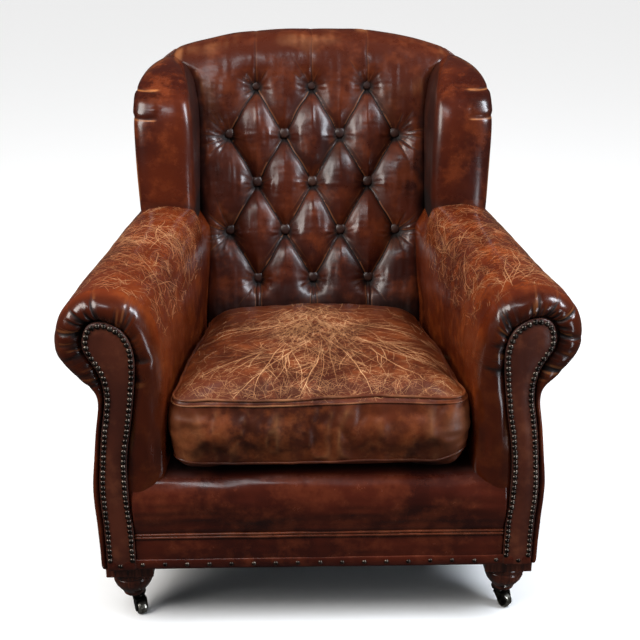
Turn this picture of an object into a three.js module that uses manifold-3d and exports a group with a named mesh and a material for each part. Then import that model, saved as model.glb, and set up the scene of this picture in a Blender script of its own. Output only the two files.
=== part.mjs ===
// A wing-back club chair in worn leather: a buttoned back, scrolled arms with padded fronts, a loose cushion
// on a sprung seat, a hardwood frame inside, turned front feet on swivel casters, and plain raked rear legs.
// Millimetres. +Z is up, +Y runs to the back, and +X is the right-hand side seen from the front. The origin
// is on the floor under the middle of the chair. Inside this file y is measured from the face of the front
// border, and the group that holds everything stands MIDDLE_Y further forward.

import * as THREE from 'three';
import { mergeVertices } from 'three/addons/utils/BufferGeometryUtils.js';
import Module from 'manifold-3d';

const wasm = await Module();
wasm.setup();

// ---- Driving dimensions ----

const GAP = 0.3; // left between pieces that touch
const MIDDLE_Y = 405.35; // from the front border's face to the middle of the chair's depth
const BASE_Z = 130; // underside of the upholstery
const BASE_DEPTH = 660; // front border to outside back, at the base
const BACK_RAKE = 0.214; // how far the outside back leans, per unit of height
const PLAN_TAPER = 0.000278; // how much narrower the seat and arms get, per mm towards the back
const BORDER_TOP = 197; // top of the padded band over the front rail
const RAIL_TOP = 234;
const RAIL_THICK = 28;
const FRONT_RAIL_Y = 24;
const DECK_BOTTOM = 304;
const DECK_TOP = 324;
const ARM_FRONT_Y = -16; // the flat front of a padded arm, at its scroll
const ARM_FRONT_LEAN = 0.0327; // how much further back that flat front is, per mm below the scroll
const SCROLL_Z = 622;
const ARM_ROLL = 40; // depth over which the arm's front edge rounds over, at its scroll
const FACING_THICK = 8;
const ARM_BOARD_Z = 612;
const CUSHION_BOTTOM = 328;
const CUSHION_TOP = 464;
const CUSHION_CROWN = 20;
const CUSHION_FRONT_HALF = 265;
const CUSHION_BACK_HALF = 224;
const CUSHION_FRONT_Y = -12;
const CUSHION_BACK_Y = 505;
const SEAT_BACK_Y = 524; // face of the inside back, level with the cushion
const LEAN_START = 450; // height at which the inside back starts to lean
const LEAN = 0.3435; // lean of the inside back, per unit of height
const BUTTON_SINK = 26; // how far a button's face sits behind the padding between the buttons
const BUTTON_RADIUS = 10.5;
const BUTTON_HEIGHT = 7;
const POCKET_RADIUS = 14;
const BUTTON_PITCH = 120;
const BUTTON_ROW_PITCH = 98.5;
const LOWEST_BUTTON_Z = 497;
const CREST_Z = 1000;
const WING_TOP = 948;
const FOOT_X = 346;
const FOOT_Y = 60;
const FOOT_BOTTOM = 41;
const BLOCK_X = [316, 396]; // the square block over each bun foot
const BLOCK_Y = [14, 94];
const BLOCK_BOTTOM = 100;
const LEG_TOP = { x: 288, y: 634, half: 24 }; // where a rear leg meets the seat
const LEG_END = { x: 296, y: 676, half: 17 }; // and where it meets the floor
const PANEL_THICK = 12; // outside back panel
const POST_INSET = 34; // from the outside back's face to the middle of a rear post
const POST_DEPTH = 38;
const POST_WIDTH = 36;
const POST_INNER_X = 267;
const COVER_HALF = 392; // dust cover, at the front
const COVER_Y = [6, 646];
const STEM_RADIUS = 5;
const STEM_TOP = 76;
const WHEEL_RADIUS = 13;
const WHEEL_WIDTH = 16;
const CASTER_TRAIL = 14;
const AXLE_RADIUS = 3;
const RUNNING_GAP = 0.25; // radial clearance of a wheel on its axle, and of a fork on its pin
const CASTER_TURN = { left: -65, right: -40 }; // heading of each trailing wheel, in degrees from +X

// ---- Materials ----

const finish = (color, roughness, metalness = 0) =>
  new THREE.MeshStandardMaterial({ color, roughness, metalness });
const MATERIALS = {
  leather: finish(0x5a2412, 0.35),
  facing: finish(0x3a1810, 0.35),
  beech: finish(0xb98d5c, 0.7),
  mahogany: finish(0x35130c, 0.25),
  steel: finish(0x8a8c8e, 0.4, 1),
  bronze: finish(0x3b3a34, 0.4, 1),
  wheel: finish(0xa9a08c, 0.3, 1),
  hessian: finish(0x9c8560, 0.9),
  lining: finish(0x1b1a1c, 0.95),
};

const chair = new THREE.Group();
chair.position.y = -MIDDLE_Y;

function add(name, geometry, material, parent = chair) {
  const mesh = new THREE.Mesh(geometry, material.clone());
  mesh.name = name;
  parent.add(mesh);
}

// Adds a right-hand piece and its mirror image on the left.
function addPair(name, geometry, material) {
  add(`${name}_right`, geometry, material);
  add(`${name}_left`, mirrored(geometry), material);
}

// ---- Solid modelling ----

// A geometry reduced to merged positions and an index.
function welded(geometry) {
  const bare = new THREE.BufferGeometry();
  bare.setAttribute('position', geometry.attributes.position.clone());
  bare.setIndex(geometry.index);
  return mergeVertices(bare, 1e-4);
}

function solidOf(geometry) {
  const shape = welded(geometry);
  return new wasm.Manifold(new wasm.Mesh({
    numProp: 3,
    vertProperties: Float32Array.from(shape.attributes.position.array),
    triVerts: Uint32Array.from(shape.index.array),
  }));
}

function geometryOf(solid) {
  const mesh = solid.getMesh();
  const geometry = new THREE.BufferGeometry();
  geometry.setAttribute('position', new THREE.BufferAttribute(mesh.vertProperties, 3));
  geometry.setIndex(new THREE.BufferAttribute(mesh.triVerts, 1));
  return geometry;
}

const cut = (geometry, ...cutters) =>
  geometryOf(cutters.reduce((solid, cutter) => solid.subtract(solidOf(cutter)), solidOf(geometry)));
const join = (geometry, ...others) =>
  geometryOf(others.reduce((solid, other) => solid.add(solidOf(other)), solidOf(geometry)));
const overlap = (geometry, other) => geometryOf(solidOf(geometry).intersect(solidOf(other)));

function flipped(geometry) {
  const index = Array.from(geometry.index.array);
  for (let i = 0; i < index.length; i += 3) {
    [index[i], index[i + 1]] = [index[i + 1], index[i]];
  }
  geometry.setIndex(index);
  return geometry;
}

function mirrored(geometry) {
  const copy = welded(geometry);
  copy.scale(-1, 1, 1);
  return flipped(copy);
}

// Turns a closed geometry's faces outward.
function outward(geometry) {
  const { attributes: { position }, index } = geometry;
  const at = (i) => new THREE.Vector3().fromBufferAttribute(position, index.array[i]);
  let volume = 0;
  for (let i = 0; i < index.count; i += 3) {
    volume += at(i).dot(at(i + 1).cross(at(i + 2)));
  }
  return volume < 0 ? flipped(geometry) : geometry;
}

// Triangles that close a planar ring, as triples of indices into it.
function capFaces(ring) {
  const box = new THREE.Box3().setFromPoints(ring);
  const size = box.getSize(new THREE.Vector3());
  const thin = ['x', 'y', 'z'].sort((a, b) => size[a] - size[b])[0];
  const [u, v] = ['x', 'y', 'z'].filter((axis) => axis !== thin);
  return THREE.ShapeUtils.triangulateShape(ring.map((p) => new THREE.Vector2(p[u], p[v])), []);
}

// A closed solid through a list of rings, which all have the same number of points.
function loft(rings) {
  const count = rings[0].length;
  const index = [];
  for (let r = 0; r + 1 < rings.length; r += 1) {
    for (let i = 0; i < count; i += 1) {
      const [a, b] = [r * count + i, r * count + (i + 1) % count];
      index.push(a, b, b + count, a, b + count, a + count);
    }
  }
  const last = (rings.length - 1) * count;
  for (const [a, b, c] of capFaces(rings[0])) {
    index.push(b, a, c);
  }
  for (const [a, b, c] of capFaces(rings[rings.length - 1])) {
    index.push(last + a, last + b, last + c);
  }
  const geometry = new THREE.BufferGeometry().setFromPoints(rings.flat());
  geometry.setIndex(index);
  return outward(consistent(geometry, count, rings.length));
}

// Makes the caps of a loft wind the same way as its sides.
function consistent(geometry, count, ringCount) {
  const index = Array.from(geometry.index.array);
  const sides = (ringCount - 1) * count * 6;
  const directed = new Set();
  for (let i = 0; i < sides; i += 3) {
    for (let k = 0; k < 3; k += 1) {
      directed.add(`${index[i + k]},${index[i + (k + 1) % 3]}`);
    }
  }
  const caps = [index.slice(sides).filter((value, i, all) => all[i - (i % 3)] < count),
    index.slice(sides).filter((value, i, all) => all[i - (i % 3)] >= count)];
  const fixed = caps.map((cap) => {
    let clash = false;
    for (let i = 0; i < cap.length; i += 3) {
      for (let k = 0; k < 3; k += 1) {
        clash = clash || directed.has(`${cap[i + k]},${cap[i + (k + 1) % 3]}`);
      }
    }
    if (!clash) {
      return cap;
    }
    return cap.map((value, i, all) => all[i - (i % 3) + [1, 0, 2][i % 3]]);
  });
  geometry.setIndex([...index.slice(0, sides), ...fixed[0], ...fixed[1]]);
  return geometry;
}

// An outline of [across, up] pairs as a ring at one distance along an axis.
const ringAlong = {
  x: (outline, x) => outline.map(([y, z]) => new THREE.Vector3(x, y, z)),
  y: (outline, y) => outline.map(([x, z]) => new THREE.Vector3(x, y, z)),
  z: (outline, z) => outline.map(([x, y]) => new THREE.Vector3(x, y, z)),
};
const prism = (axis, outline, from, to) =>
  loft([ringAlong[axis](outline, from), ringAlong[axis](outline, to)]);

function slab([x0, x1], [y0, y1], [z0, z1], grow = 0) {
  const box = new THREE.BoxGeometry(x1 - x0 + 2 * grow, y1 - y0 + 2 * grow, z1 - z0 + 2 * grow);
  return box.translate((x0 + x1) / 2, (y0 + y1) / 2, (z0 + z1) / 2);
}

// A straight square-cut bar. Its width stays level, and its depth is the other way across.
function bar(from, to, width, depth, grow = 0) {
  const start = new THREE.Vector3(...from);
  const run = new THREE.Vector3(...to).sub(start);
  const along = run.clone().normalize();
  const across = new THREE.Vector3(1, 0, 0).addScaledVector(along, -along.x).normalize();
  const turn = new THREE.Matrix4().makeBasis(across, along.clone().cross(across), along);
  turn.setPosition(start.addScaledVector(run, 0.5));
  const box = new THREE.BoxGeometry(width + 2 * grow, depth + 2 * grow, run.length() + 2 * grow);
  return box.applyMatrix4(turn);
}

// A closed outline moved outward by a distance, corner by corner.
function widened(outline, distance) {
  const points = outline.map(([a, b]) => new THREE.Vector2(a, b));
  const side = THREE.ShapeUtils.area(points) > 0 ? 1 : -1;
  return points.map((point, i) => {
    const before = point.clone().sub(points.at(i - 1)).normalize();
    const after = points[(i + 1) % points.length].clone().sub(point).normalize();
    const normal = new THREE.Vector2(before.y + after.y, -before.x - after.x).multiplyScalar(side);
    normal.normalize();
    const square = new THREE.Vector2(before.y, -before.x).multiplyScalar(side);
    const reach = distance / Math.max(normal.dot(square), 0.5);
    return [point.x + normal.x * reach, point.y + normal.y * reach];
  });
}

const smooth = (points, steps) =>
  new THREE.SplineCurve(points.map((p) => new THREE.Vector2(...p))).getPoints(steps).map((p) => [p.x, p.y]);

const turned = (profile, segments) =>
  outward(welded(new THREE.LatheGeometry(profile.map((p) => new THREE.Vector2(...p)), segments)
    .rotateX(Math.PI / 2)));

// ---- Lines that several pieces share ----

const backY = (z) => BASE_DEPTH + BACK_RAKE * (z - BASE_Z); // face of the outside back
const seatBackY = (z) => SEAT_BACK_Y + LEAN * Math.max(z - LEAN_START, 0); // face of the inside back
const taper = (y) => 1 - PLAN_TAPER * (y - ARM_FRONT_Y - ARM_ROLL);
const armFrontY = (z) => ARM_FRONT_Y + ARM_FRONT_LEAN * (SCROLL_Z - z);

// ---- Arms ----

// The arm's section, up its outer side, over the scroll and down its inner side.
const ARM_SECTION = [[401, 130], [403, 215], [404, 300], [391, 405], [384, 478], [418, 514], [449, 560],
  [441, 622], [400, 660], [345, 664], [294, 634], [267, 550], [268, 450], [273, 360], [280, 303], [322, 257],
  [336, 235], [336, 130]];
// The same section beside the wing, where its padding is fuller on the inner side.
const ARM_REAR_SECTION = [[401, 130], [403, 215], [404, 300], [391, 405], [384, 478], [418, 514], [449, 560],
  [443, 626], [402, 668], [336, 682], [274, 660], [262, 560], [268, 450], [273, 360], [280, 303], [322, 257],
  [336, 235], [336, 130]];
const ARM_REAR_Y = 470; // where the rear section is reached
// The flat front panel's outline, point for point with the section.
const ARM_FACING = [[388, 130], [388, 215], [390, 300], [380, 405], [369, 478], [375, 526], [398, 572],
  [393, 608], [373, 621], [345, 615], [323, 592], [314, 548], [323, 460], [337, 375], [341, 320], [340, 262],
  [337, 225], [336, 130]];
const ARM_STEPS = 34;

function armSolid(grow = 0) {
  const section = widened(smooth(ARM_SECTION, ARM_STEPS), grow);
  const facing = widened(smooth(ARM_FACING, ARM_STEPS), grow);
  const fuller = widened(smooth(ARM_REAR_SECTION, ARM_STEPS), grow);
  const between = (from, to, yAt, share) => from.map(([x, z], i) => {
    const level = z + (to[i][1] - z) * share;
    const y = yAt(level);
    return new THREE.Vector3((x + (to[i][0] - x) * share) * taper(y), y, level);
  });
  const rollEnd = ARM_FRONT_Y + ARM_ROLL;
  const rings = [90, 60, 30].map((degrees) => {
    const turn = THREE.MathUtils.degToRad(degrees);
    const yAt = (z) => rollEnd + (armFrontY(z) - grow - rollEnd) * Math.sin(turn);
    return between(section, facing, yAt, 1 - Math.cos(turn));
  });
  for (const share of [0, 0.33, 0.67, 1]) {
    rings.push(between(section, fuller, () => rollEnd + (ARM_REAR_Y - rollEnd) * share, share));
  }
  rings.push(fuller.map(([x, z]) => {
    const y = backY(z) - PANEL_THICK - GAP + grow;
    return new THREE.Vector3(x * taper(y), y, z);
  }));
  return loft(rings);
}

// The space inside an arm, between its outer panel and its inner padding. It is open underneath.
function armHollow() {
  const section = [[389, 120], [391, 300], [378, 410], [370, 480], [372, 560], [384, 600.7], [328, 600.7],
    [312, 560], [312, 320], [352, 262], [352, 120]];
  return loft([60, 600].map((y) => ringAlong.y(section.map(([x, z]) => [x * taper(y), z]), y)));
}

// ---- Frame ----

const postY = (z) => backY(z) - POST_INSET;
const railEnd = (x, y, z) => [x * taper(y), y, z];
const WING_BOARD = [[535, 623.3], [548, 850], [600, 905], [backY(905) - 56, 905], [backY(623.3) - 56, 623.3]];
const CREST_ARC = [[-296, 930], [-200, 955], [0, 968], [200, 955], [296, 930]];

const FRAME = {
  frontPost: (grow = 0) => slab([340, 374], [24, 69], [BASE_Z, 600.7], grow),
  rearPost: (grow = 0) => {
    const [low, high] = [BASE_Z, 912];
    const half = POST_DEPTH / 2;
    const outline = [[postY(low) - half, low], [postY(low) + half, low], [postY(high) + half, high],
      [postY(high) - half, high]];
    return prism('x', widened(outline, grow), POST_INNER_X - grow, POST_INNER_X + POST_WIDTH + grow);
  },
  sideRail: (grow = 0) => bar(railEnd(368, 72, 182), railEnd(368, 604, 182), RAIL_THICK, 104, grow),
  armBoard: (grow = 0) => bar(railEnd(356, 24, ARM_BOARD_Z), railEnd(356, 702, ARM_BOARD_Z), 56, 22, grow),
  wingBoard: (grow = 0) => prism('x', widened(WING_BOARD, grow), 294 - grow, 314 + grow),
  crestRail: (grow = 0) => {
    const outline = widened([...smooth(CREST_ARC, 12), [296, 916], [-296, 916]], grow);
    const y = postY(916);
    return prism('y', outline, y - 12 - grow, y + 12 + grow);
  },
  lowerRail: (grow = 0) => {
    const half = POST_INNER_X - GAP + grow;
    return slab([-half, half], [postY(310) - 12 - grow, postY(310) + 12 + grow], [310 - grow, 350 + grow]);
  },
};

function addFrame() {
  const rearRailY = postY(BASE_Z);
  const betweenPosts = [GAP - POST_INNER_X, POST_INNER_X - GAP];
  add('front_rail', slab([-339.7, 339.7], [FRONT_RAIL_Y, FRONT_RAIL_Y + RAIL_THICK], [BASE_Z, RAIL_TOP]),
    MATERIALS.beech);
  add('rear_rail', slab(betweenPosts, [rearRailY - 14, rearRailY + 14], [BASE_Z, RAIL_TOP]), MATERIALS.beech);
  add('lower_back_rail', FRAME.lowerRail(), MATERIALS.beech);
  add('crest_rail', FRAME.crestRail(), MATERIALS.beech);
  addPair('side_rail', FRAME.sideRail(), MATERIALS.beech);
  addPair('front_post', FRAME.frontPost(), MATERIALS.beech);
  addPair('rear_post', FRAME.rearPost(), MATERIALS.beech);
  addPair('arm_board', FRAME.armBoard(), MATERIALS.beech);
  addPair('wing_board', FRAME.wingBoard(), MATERIALS.beech);
}

// ---- Sprung seat ----

const SPRING_X = [-180, -60, 60, 180];
const SPRING_WIRE = 1.9;
const SPRING_TURNS = 11;
const SPRING_RISE = 48;

// A wire bent to and fro, bowed upward from the front rail's top to the rear rail's.
function sinuousSpring(x) {
  const [front, back] = [FRONT_RAIL_Y + 22, postY(BASE_Z)];
  const seatZ = RAIL_TOP + SPRING_WIRE + GAP;
  const points = [];
  for (let i = 0; i <= 2 * SPRING_TURNS; i += 1) {
    const share = i / (2 * SPRING_TURNS);
    const bow = 1 - (2 * share - 1) ** 2;
    const side = 18 * Math.sin((i * Math.PI) / 2);
    points.push(new THREE.Vector3(x + side, front + (back - front) * share, seatZ + SPRING_RISE * bow));
  }
  const path = new THREE.CatmullRomCurve3(points);
  const section = new THREE.Shape().absellipse(0, 0, SPRING_WIRE, SPRING_WIRE, 0, 2 * Math.PI);
  const steps = 2 * (points.length - 1);
  return outward(welded(new THREE.ExtrudeGeometry(section, { steps, curveSegments: 3, extrudePath: path })));
}

function addSeat() {
  SPRING_X.forEach((x, i) => add(`seat_spring_${i + 1}`, sinuousSpring(x), MATERIALS.steel));
  const deck = [[-258, 118], [258, 118], [227, 515], [-227, 515]];
  add('seat_deck', prism('z', deck, DECK_BOTTOM, DECK_TOP), MATERIALS.hessian);
}

// ---- Front of the seat ----

const LIP_PROFILE = [[23.6, BORDER_TOP + GAP], [3, BORDER_TOP + GAP], [-5, 225], [-10, 252], [-9, 276],
  [0, 298], [16, 313], [45, 321], [112, DECK_TOP], [112, DECK_BOTTOM], [74, 300], [40, 262],
  [40, RAIL_TOP + GAP], [23.6, RAIL_TOP + GAP]];
const BORDER_PROFILE = [[23.6, BASE_Z], [1, BASE_Z], [0, 133], [0, 190], [4, BORDER_TOP], [23.6, BORDER_TOP]];
const BORDER_HALF = 335.5;

function addFront() {
  const arms = [armSolid(GAP), mirrored(armSolid(GAP))];
  const across = (profile) => cut(prism('x', profile, -BORDER_HALF, BORDER_HALF), ...arms);
  add('seat_lip', across(LIP_PROFILE), MATERIALS.leather);
  add('front_border', across(BORDER_PROFILE), MATERIALS.leather);
}

// ---- Seat cushion ----

function addCushion() {
  const corner = 46;
  // The plan outline pulled in by a distance: rounded corners, and slightly hollow sides.
  const plan = (inset) => {
    const outline = [];
    const corners = [[CUSHION_FRONT_HALF, CUSHION_FRONT_Y, -90], [CUSHION_BACK_HALF, CUSHION_BACK_Y, 0],
      [-CUSHION_BACK_HALF, CUSHION_BACK_Y, 90], [-CUSHION_FRONT_HALF, CUSHION_FRONT_Y, 180]];
    for (const [x, y, start] of corners) {
      const [cx, cy] = [x - Math.sign(x) * corner, y + (y < 0 ? corner : -corner)];
      for (const degrees of [0, 30, 60, 90]) {
        const turn = THREE.MathUtils.degToRad(start + degrees);
        const reach = corner - inset;
        outline.push([cx + reach * Math.cos(turn), cy + reach * Math.sin(turn)]);
      }
    }
    return outline;
  };
  const levels = [[26, CUSHION_BOTTOM], [6, CUSHION_BOTTOM + 8], [0, CUSHION_BOTTOM + 20],
    [0, CUSHION_TOP - 12], [6, CUSHION_TOP], [40, CUSHION_TOP + 0.5 * CUSHION_CROWN]];
  const rings = levels.map(([inset, z]) => ringAlong.z(plan(inset), z));
  const crown = plan(0).map(([x, y]) => [x * 0.45, 240 + (y - 240) * 0.45]);
  rings.push(ringAlong.z(crown, CUSHION_TOP + CUSHION_CROWN));
  add('seat_cushion', loft(rings), MATERIALS.leather);
}

// ---- Back ----

const CREST_OUTLINE = [[-246, 925], [-250, 946], [-320, 946], [-313, 952], [-270, 969], [-200, 985],
  [-130, 995], [0, CREST_Z], [130, 995], [200, 985], [270, 969], [313, 952], [320, 946], [250, 946],
  [246, 925]];
const BACK_LOW_HALF = 226;
const PAD_BOTTOM = 300;

// Buttons stand in rows, the odd rows shifted half a pitch.
function buttonPlaces() {
  const rows = [[-1, 0, 1], [-1.5, -0.5, 0.5, 1.5]];
  const places = [];
  for (let row = 0; row < 5; row += 1) {
    const z = LOWEST_BUTTON_Z + row * BUTTON_ROW_PITCH;
    const y = seatBackY(z) + BUTTON_SINK;
    places.push(...rows[row % 2].map((step) => [step * BUTTON_PITCH, y, z]));
  }
  return places;
}

// Places a piece made along +Z so that it points square out of the leaning back.
function onBack(geometry, [x, y, z]) {
  return geometry.rotateX(Math.PI / 2 - Math.atan(LEAN)).translate(x, y, z);
}

function insideBackSolid(grow = 0) {
  const padBack = (z) => postY(z) - 28;
  const profile = [[SEAT_BACK_Y, PAD_BOTTOM], [SEAT_BACK_Y, LEAN_START], [seatBackY(700), 700],
    [seatBackY(900), 900], [seatBackY(940), 940], [704, 968], [728, 990], [765, CREST_Z + 0.5], [802, 992],
    [828, 970], [835, 948], [770, 940], [padBack(900), 900], [padBack(PAD_BOTTOM), PAD_BOTTOM]];
  const front = [...CREST_OUTLINE, [240, 680], [BACK_LOW_HALF, 600], [BACK_LOW_HALF, PAD_BOTTOM - 5],
    [-BACK_LOW_HALF, PAD_BOTTOM - 5], [-BACK_LOW_HALF, 600], [-240, 680]];
  return overlap(prism('x', widened(profile, grow), -330, 330), prism('y', widened(front, grow), 400, 900));
}

function addBack() {
  const arms = [armSolid(GAP), mirrored(armSolid(GAP))];
  const pocket = () => new THREE.CylinderGeometry(POCKET_RADIUS, POCKET_RADIUS, 70, 10).rotateX(Math.PI / 2)
    .translate(0, 0, 35 - BUTTON_HEIGHT - GAP);
  const pockets = buttonPlaces().map((place) => onBack(pocket(), place));
  add('inside_back', cut(insideBackSolid(), ...arms, FRAME.crestRail(GAP), ...pockets), MATERIALS.leather);
  buttonPlaces().forEach((place, i) => {
    const dome = [[0, -BUTTON_HEIGHT], [BUTTON_RADIUS - 2, -BUTTON_HEIGHT],
      [BUTTON_RADIUS, -BUTTON_HEIGHT + 2.5], [BUTTON_RADIUS - 2, -1.4], [0, 0]];
    add(`button_${i + 1}`, onBack(turned(dome, 12), place), MATERIALS.leather);
  });
  const half = [[322, BASE_Z], [318, 300], [314, 480], [330, 600], [346, 700], [360, 860], [352, 920],
    [318, 945]];
  const panel = [...half, ...half.map(([x, z]) => [-x, z]).reverse()];
  const face = (back) => panel.map(([x, z]) => new THREE.Vector3(x, backY(z) - back, z));
  add('outside_back', loft([face(PANEL_THICK), face(0)]), MATERIALS.leather);
}

// ---- Wings ----

// Height, outer face, inner face and front of the wing at each level.
const WING_LEVELS = [[600, 352, 246, 472], [675, 357, 244, 468], [770, 361, 243, 474], [850, 364, 245, 488],
  [890, 362, 250, 508], [915, 357, 257, 545], [935, 342, 272, 606], [WING_TOP, 318, 292, 658]];

function wingSolid() {
  const rings = WING_LEVELS.map(([z, outer, inner, front]) => {
    const [middle, half] = [(outer + inner) / 2, (outer - inner) / 2];
    const rear = backY(z) - PANEL_THICK - GAP;
    const outline = [[outer, rear]];
    for (let degrees = 0; degrees <= 180; degrees += 22.5) {
      const turn = THREE.MathUtils.degToRad(degrees);
      outline.push([middle + half * Math.cos(turn), front + 50 * (1 - Math.sin(turn))]);
    }
    outline.push([inner, rear]);
    return ringAlong.z(outline, z);
  });
  return loft(rings);
}

// ---- Feet ----

function frontFoot() {
  const bore = STEM_RADIUS + GAP;
  const profile = [[0, STEM_TOP + 2], [bore, STEM_TOP + 2], [bore, FOOT_BOTTOM], [15, FOOT_BOTTOM], [17, 46],
    [25, 55], [32.5, 67], [36.5, 79], [36.2, 84], [37.5, 87], [37.5, 94], [35, 98], [35, BLOCK_BOTTOM + 1],
    [0, BLOCK_BOTTOM + 1]];
  const bun = turned(profile, 24).translate(FOOT_X, FOOT_Y, 0);
  const block = slab(BLOCK_X, BLOCK_Y, [BLOCK_BOTTOM, BASE_Z - GAP]);
  return join(bun, block);
}

function rearLeg() {
  const square = ({ x, y, half }, z) =>
    ringAlong.z([[x - half, y - half], [x + half, y - half], [x + half, y + half], [x - half, y + half]], z);
  return loft([square(LEG_END, 0), square(LEG_TOP, BASE_Z - GAP)]);
}

// ---- Casters ----

function caster(side) {
  const mirror = side === 'left' ? -1 : 1;
  const group = new THREE.Group();
  group.position.set(mirror * FOOT_X, FOOT_Y, 0);
  group.rotation.z = THREE.MathUtils.degToRad(CASTER_TURN[side]);
  chair.add(group);

  const plateZ = FOOT_BOTTOM - GAP;
  const hubTop = 35;
  const hubBottom = 29;
  const socket = turned([[0, STEM_TOP], [STEM_RADIUS, STEM_TOP], [STEM_RADIUS, plateZ], [15, plateZ],
    [14, 37], [8, hubTop + GAP], [AXLE_RADIUS, hubTop + GAP], [AXLE_RADIUS, hubBottom - GAP],
    [5, hubBottom - GAP], [5, hubBottom - 1.8], [0, hubBottom - 1.8]], 16);
  add(`caster_socket_${side}`, socket, MATERIALS.bronze, group);

  const cheekInner = WHEEL_WIDTH / 2 + 0.8;
  const cheekOuter = cheekInner + 2.2;
  const hub = turned([[0, hubTop], [9, hubTop], [10, hubTop - 2], [10, hubBottom], [0, hubBottom]], 16);
  const arch = slab([-6, CASTER_TRAIL + 4], [-cheekOuter, cheekOuter], [hubBottom, hubBottom + 3]);
  const cheek = [[-6, hubBottom + 3], [CASTER_TRAIL + 4, hubBottom + 3], [CASTER_TRAIL + 7, 20],
    [CASTER_TRAIL + 6.5, 10], [CASTER_TRAIL + 3, 6.5], [CASTER_TRAIL - 3, 6.5], [CASTER_TRAIL - 7, 12]];
  const cheeks = [[-cheekOuter, -cheekInner], [cheekInner, cheekOuter]]
    .map(([from, to]) => prism('y', cheek, from, to));
  const rod = (radius, half) => new THREE.CylinderGeometry(radius, radius, 2 * half, 16)
    .translate(CASTER_TRAIL, 0, WHEEL_RADIUS);
  const upright = (radius) => new THREE.CylinderGeometry(radius, radius, 20, 16).rotateX(Math.PI / 2)
    .translate(0, 0, hubTop - 4);
  const fork = cut(join(hub, arch, ...cheeks), upright(AXLE_RADIUS + RUNNING_GAP),
    rod(AXLE_RADIUS + GAP, 20));
  add(`caster_fork_${side}`, fork, MATERIALS.bronze, group);
  add(`caster_axle_${side}`, outward(welded(rod(AXLE_RADIUS, cheekOuter))), MATERIALS.bronze, group);

  const bore = AXLE_RADIUS + RUNNING_GAP;
  const half = WHEEL_WIDTH / 2;
  const tread = new THREE.LatheGeometry([[bore, -half], [WHEEL_RADIUS - 2, -half],
    [WHEEL_RADIUS - 0.4, 1.6 - half], [WHEEL_RADIUS, 4 - half], [WHEEL_RADIUS, half - 4],
    [WHEEL_RADIUS - 0.4, half - 1.6], [WHEEL_RADIUS - 2, half], [bore, half],
    [bore, -half]].map((p) => new THREE.Vector2(...p)), 24);
  tread.translate(CASTER_TRAIL, 0, WHEEL_RADIUS);
  add(`caster_wheel_${side}`, outward(welded(tread)), MATERIALS.wheel, group);
}

// ---- Assembly ----

addFrame();
addSeat();
addFront();
addCushion();
addBack();

const { frontPost, rearPost, sideRail, armBoard, wingBoard, crestRail, lowerRail } = FRAME;
const armCutters = [armHollow(), frontPost(GAP), rearPost(GAP), sideRail(GAP), armBoard(GAP), wingBoard(GAP),
  lowerRail(GAP)];
const armPad = cut(armSolid(), ...armCutters, slab([0, 339.7], [24, 52], [100, RAIL_TOP], GAP));
addPair('arm_pad', armPad, MATERIALS.leather);
const facingFace = (forward) => smooth(ARM_FACING, ARM_STEPS)
  .map(([x, z]) => new THREE.Vector3(x, armFrontY(z) - forward, z));
addPair('arm_facing', loft([facingFace(GAP + FACING_THICK), facingFace(GAP)]), MATERIALS.facing);

const wingPad = cut(wingSolid(), armSolid(GAP), rearPost(GAP), wingBoard(GAP), crestRail(GAP),
  insideBackSolid(GAP));
addPair('wing_pad', wingPad, MATERIALS.leather);

addPair('front_foot', frontFoot(), MATERIALS.mahogany);
addPair('rear_leg', rearLeg(), MATERIALS.mahogany);
['left', 'right'].forEach(caster);

const coverRear = COVER_HALF * taper(COVER_Y[1]);
const coverPlan = [[COVER_HALF, COVER_Y[0]], [coverRear, COVER_Y[1]], [-coverRear, COVER_Y[1]],
  [-COVER_HALF, COVER_Y[0]]];
const notch = (across, along) => slab(across, along, [BLOCK_BOTTOM, BASE_Z + 10], GAP);
const around = (middle, half) => [middle - half, middle + half];
const legReach = LEG_TOP.half + 2;
const feet = [notch(BLOCK_X, BLOCK_Y), notch(around(LEG_TOP.x, legReach), around(LEG_TOP.y, legReach))];
const cover = cut(prism('z', coverPlan, BASE_Z - 3, BASE_Z - 1), ...feet, ...feet.map(mirrored));
add('dust_cover', cover, MATERIALS.lining);

export default chair;
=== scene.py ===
"""The looks of a worn wing-back club chair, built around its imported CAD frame.

Every length is in metres in the chair's own frame: +Z up, +Y to the back, origin on the floor under its
middle. Outlines are written in millimetres, with y measured from the face of the front border, and
chair_points turns them into metres.
"""

import math

import bpy
import numpy as np
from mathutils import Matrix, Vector
from mathutils.bvhtree import BVHTree


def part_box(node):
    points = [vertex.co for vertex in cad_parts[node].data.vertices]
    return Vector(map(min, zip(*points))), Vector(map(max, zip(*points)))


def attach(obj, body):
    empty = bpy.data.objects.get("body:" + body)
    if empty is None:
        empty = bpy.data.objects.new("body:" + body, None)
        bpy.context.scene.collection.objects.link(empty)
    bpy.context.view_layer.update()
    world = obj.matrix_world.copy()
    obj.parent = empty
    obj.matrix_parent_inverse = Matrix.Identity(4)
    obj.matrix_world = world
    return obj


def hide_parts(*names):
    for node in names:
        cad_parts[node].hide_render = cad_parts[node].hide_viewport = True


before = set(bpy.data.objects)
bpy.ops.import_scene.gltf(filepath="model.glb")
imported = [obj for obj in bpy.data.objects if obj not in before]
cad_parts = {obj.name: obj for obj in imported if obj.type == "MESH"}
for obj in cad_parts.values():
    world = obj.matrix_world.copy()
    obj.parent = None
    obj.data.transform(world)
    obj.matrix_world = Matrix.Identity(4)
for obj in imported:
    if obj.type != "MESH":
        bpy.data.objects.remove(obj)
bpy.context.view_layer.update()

MM = 0.001
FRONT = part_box("front_border")[0].y  # the face of the front border
SIDES = (("left", -1), ("right", 1))

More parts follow.
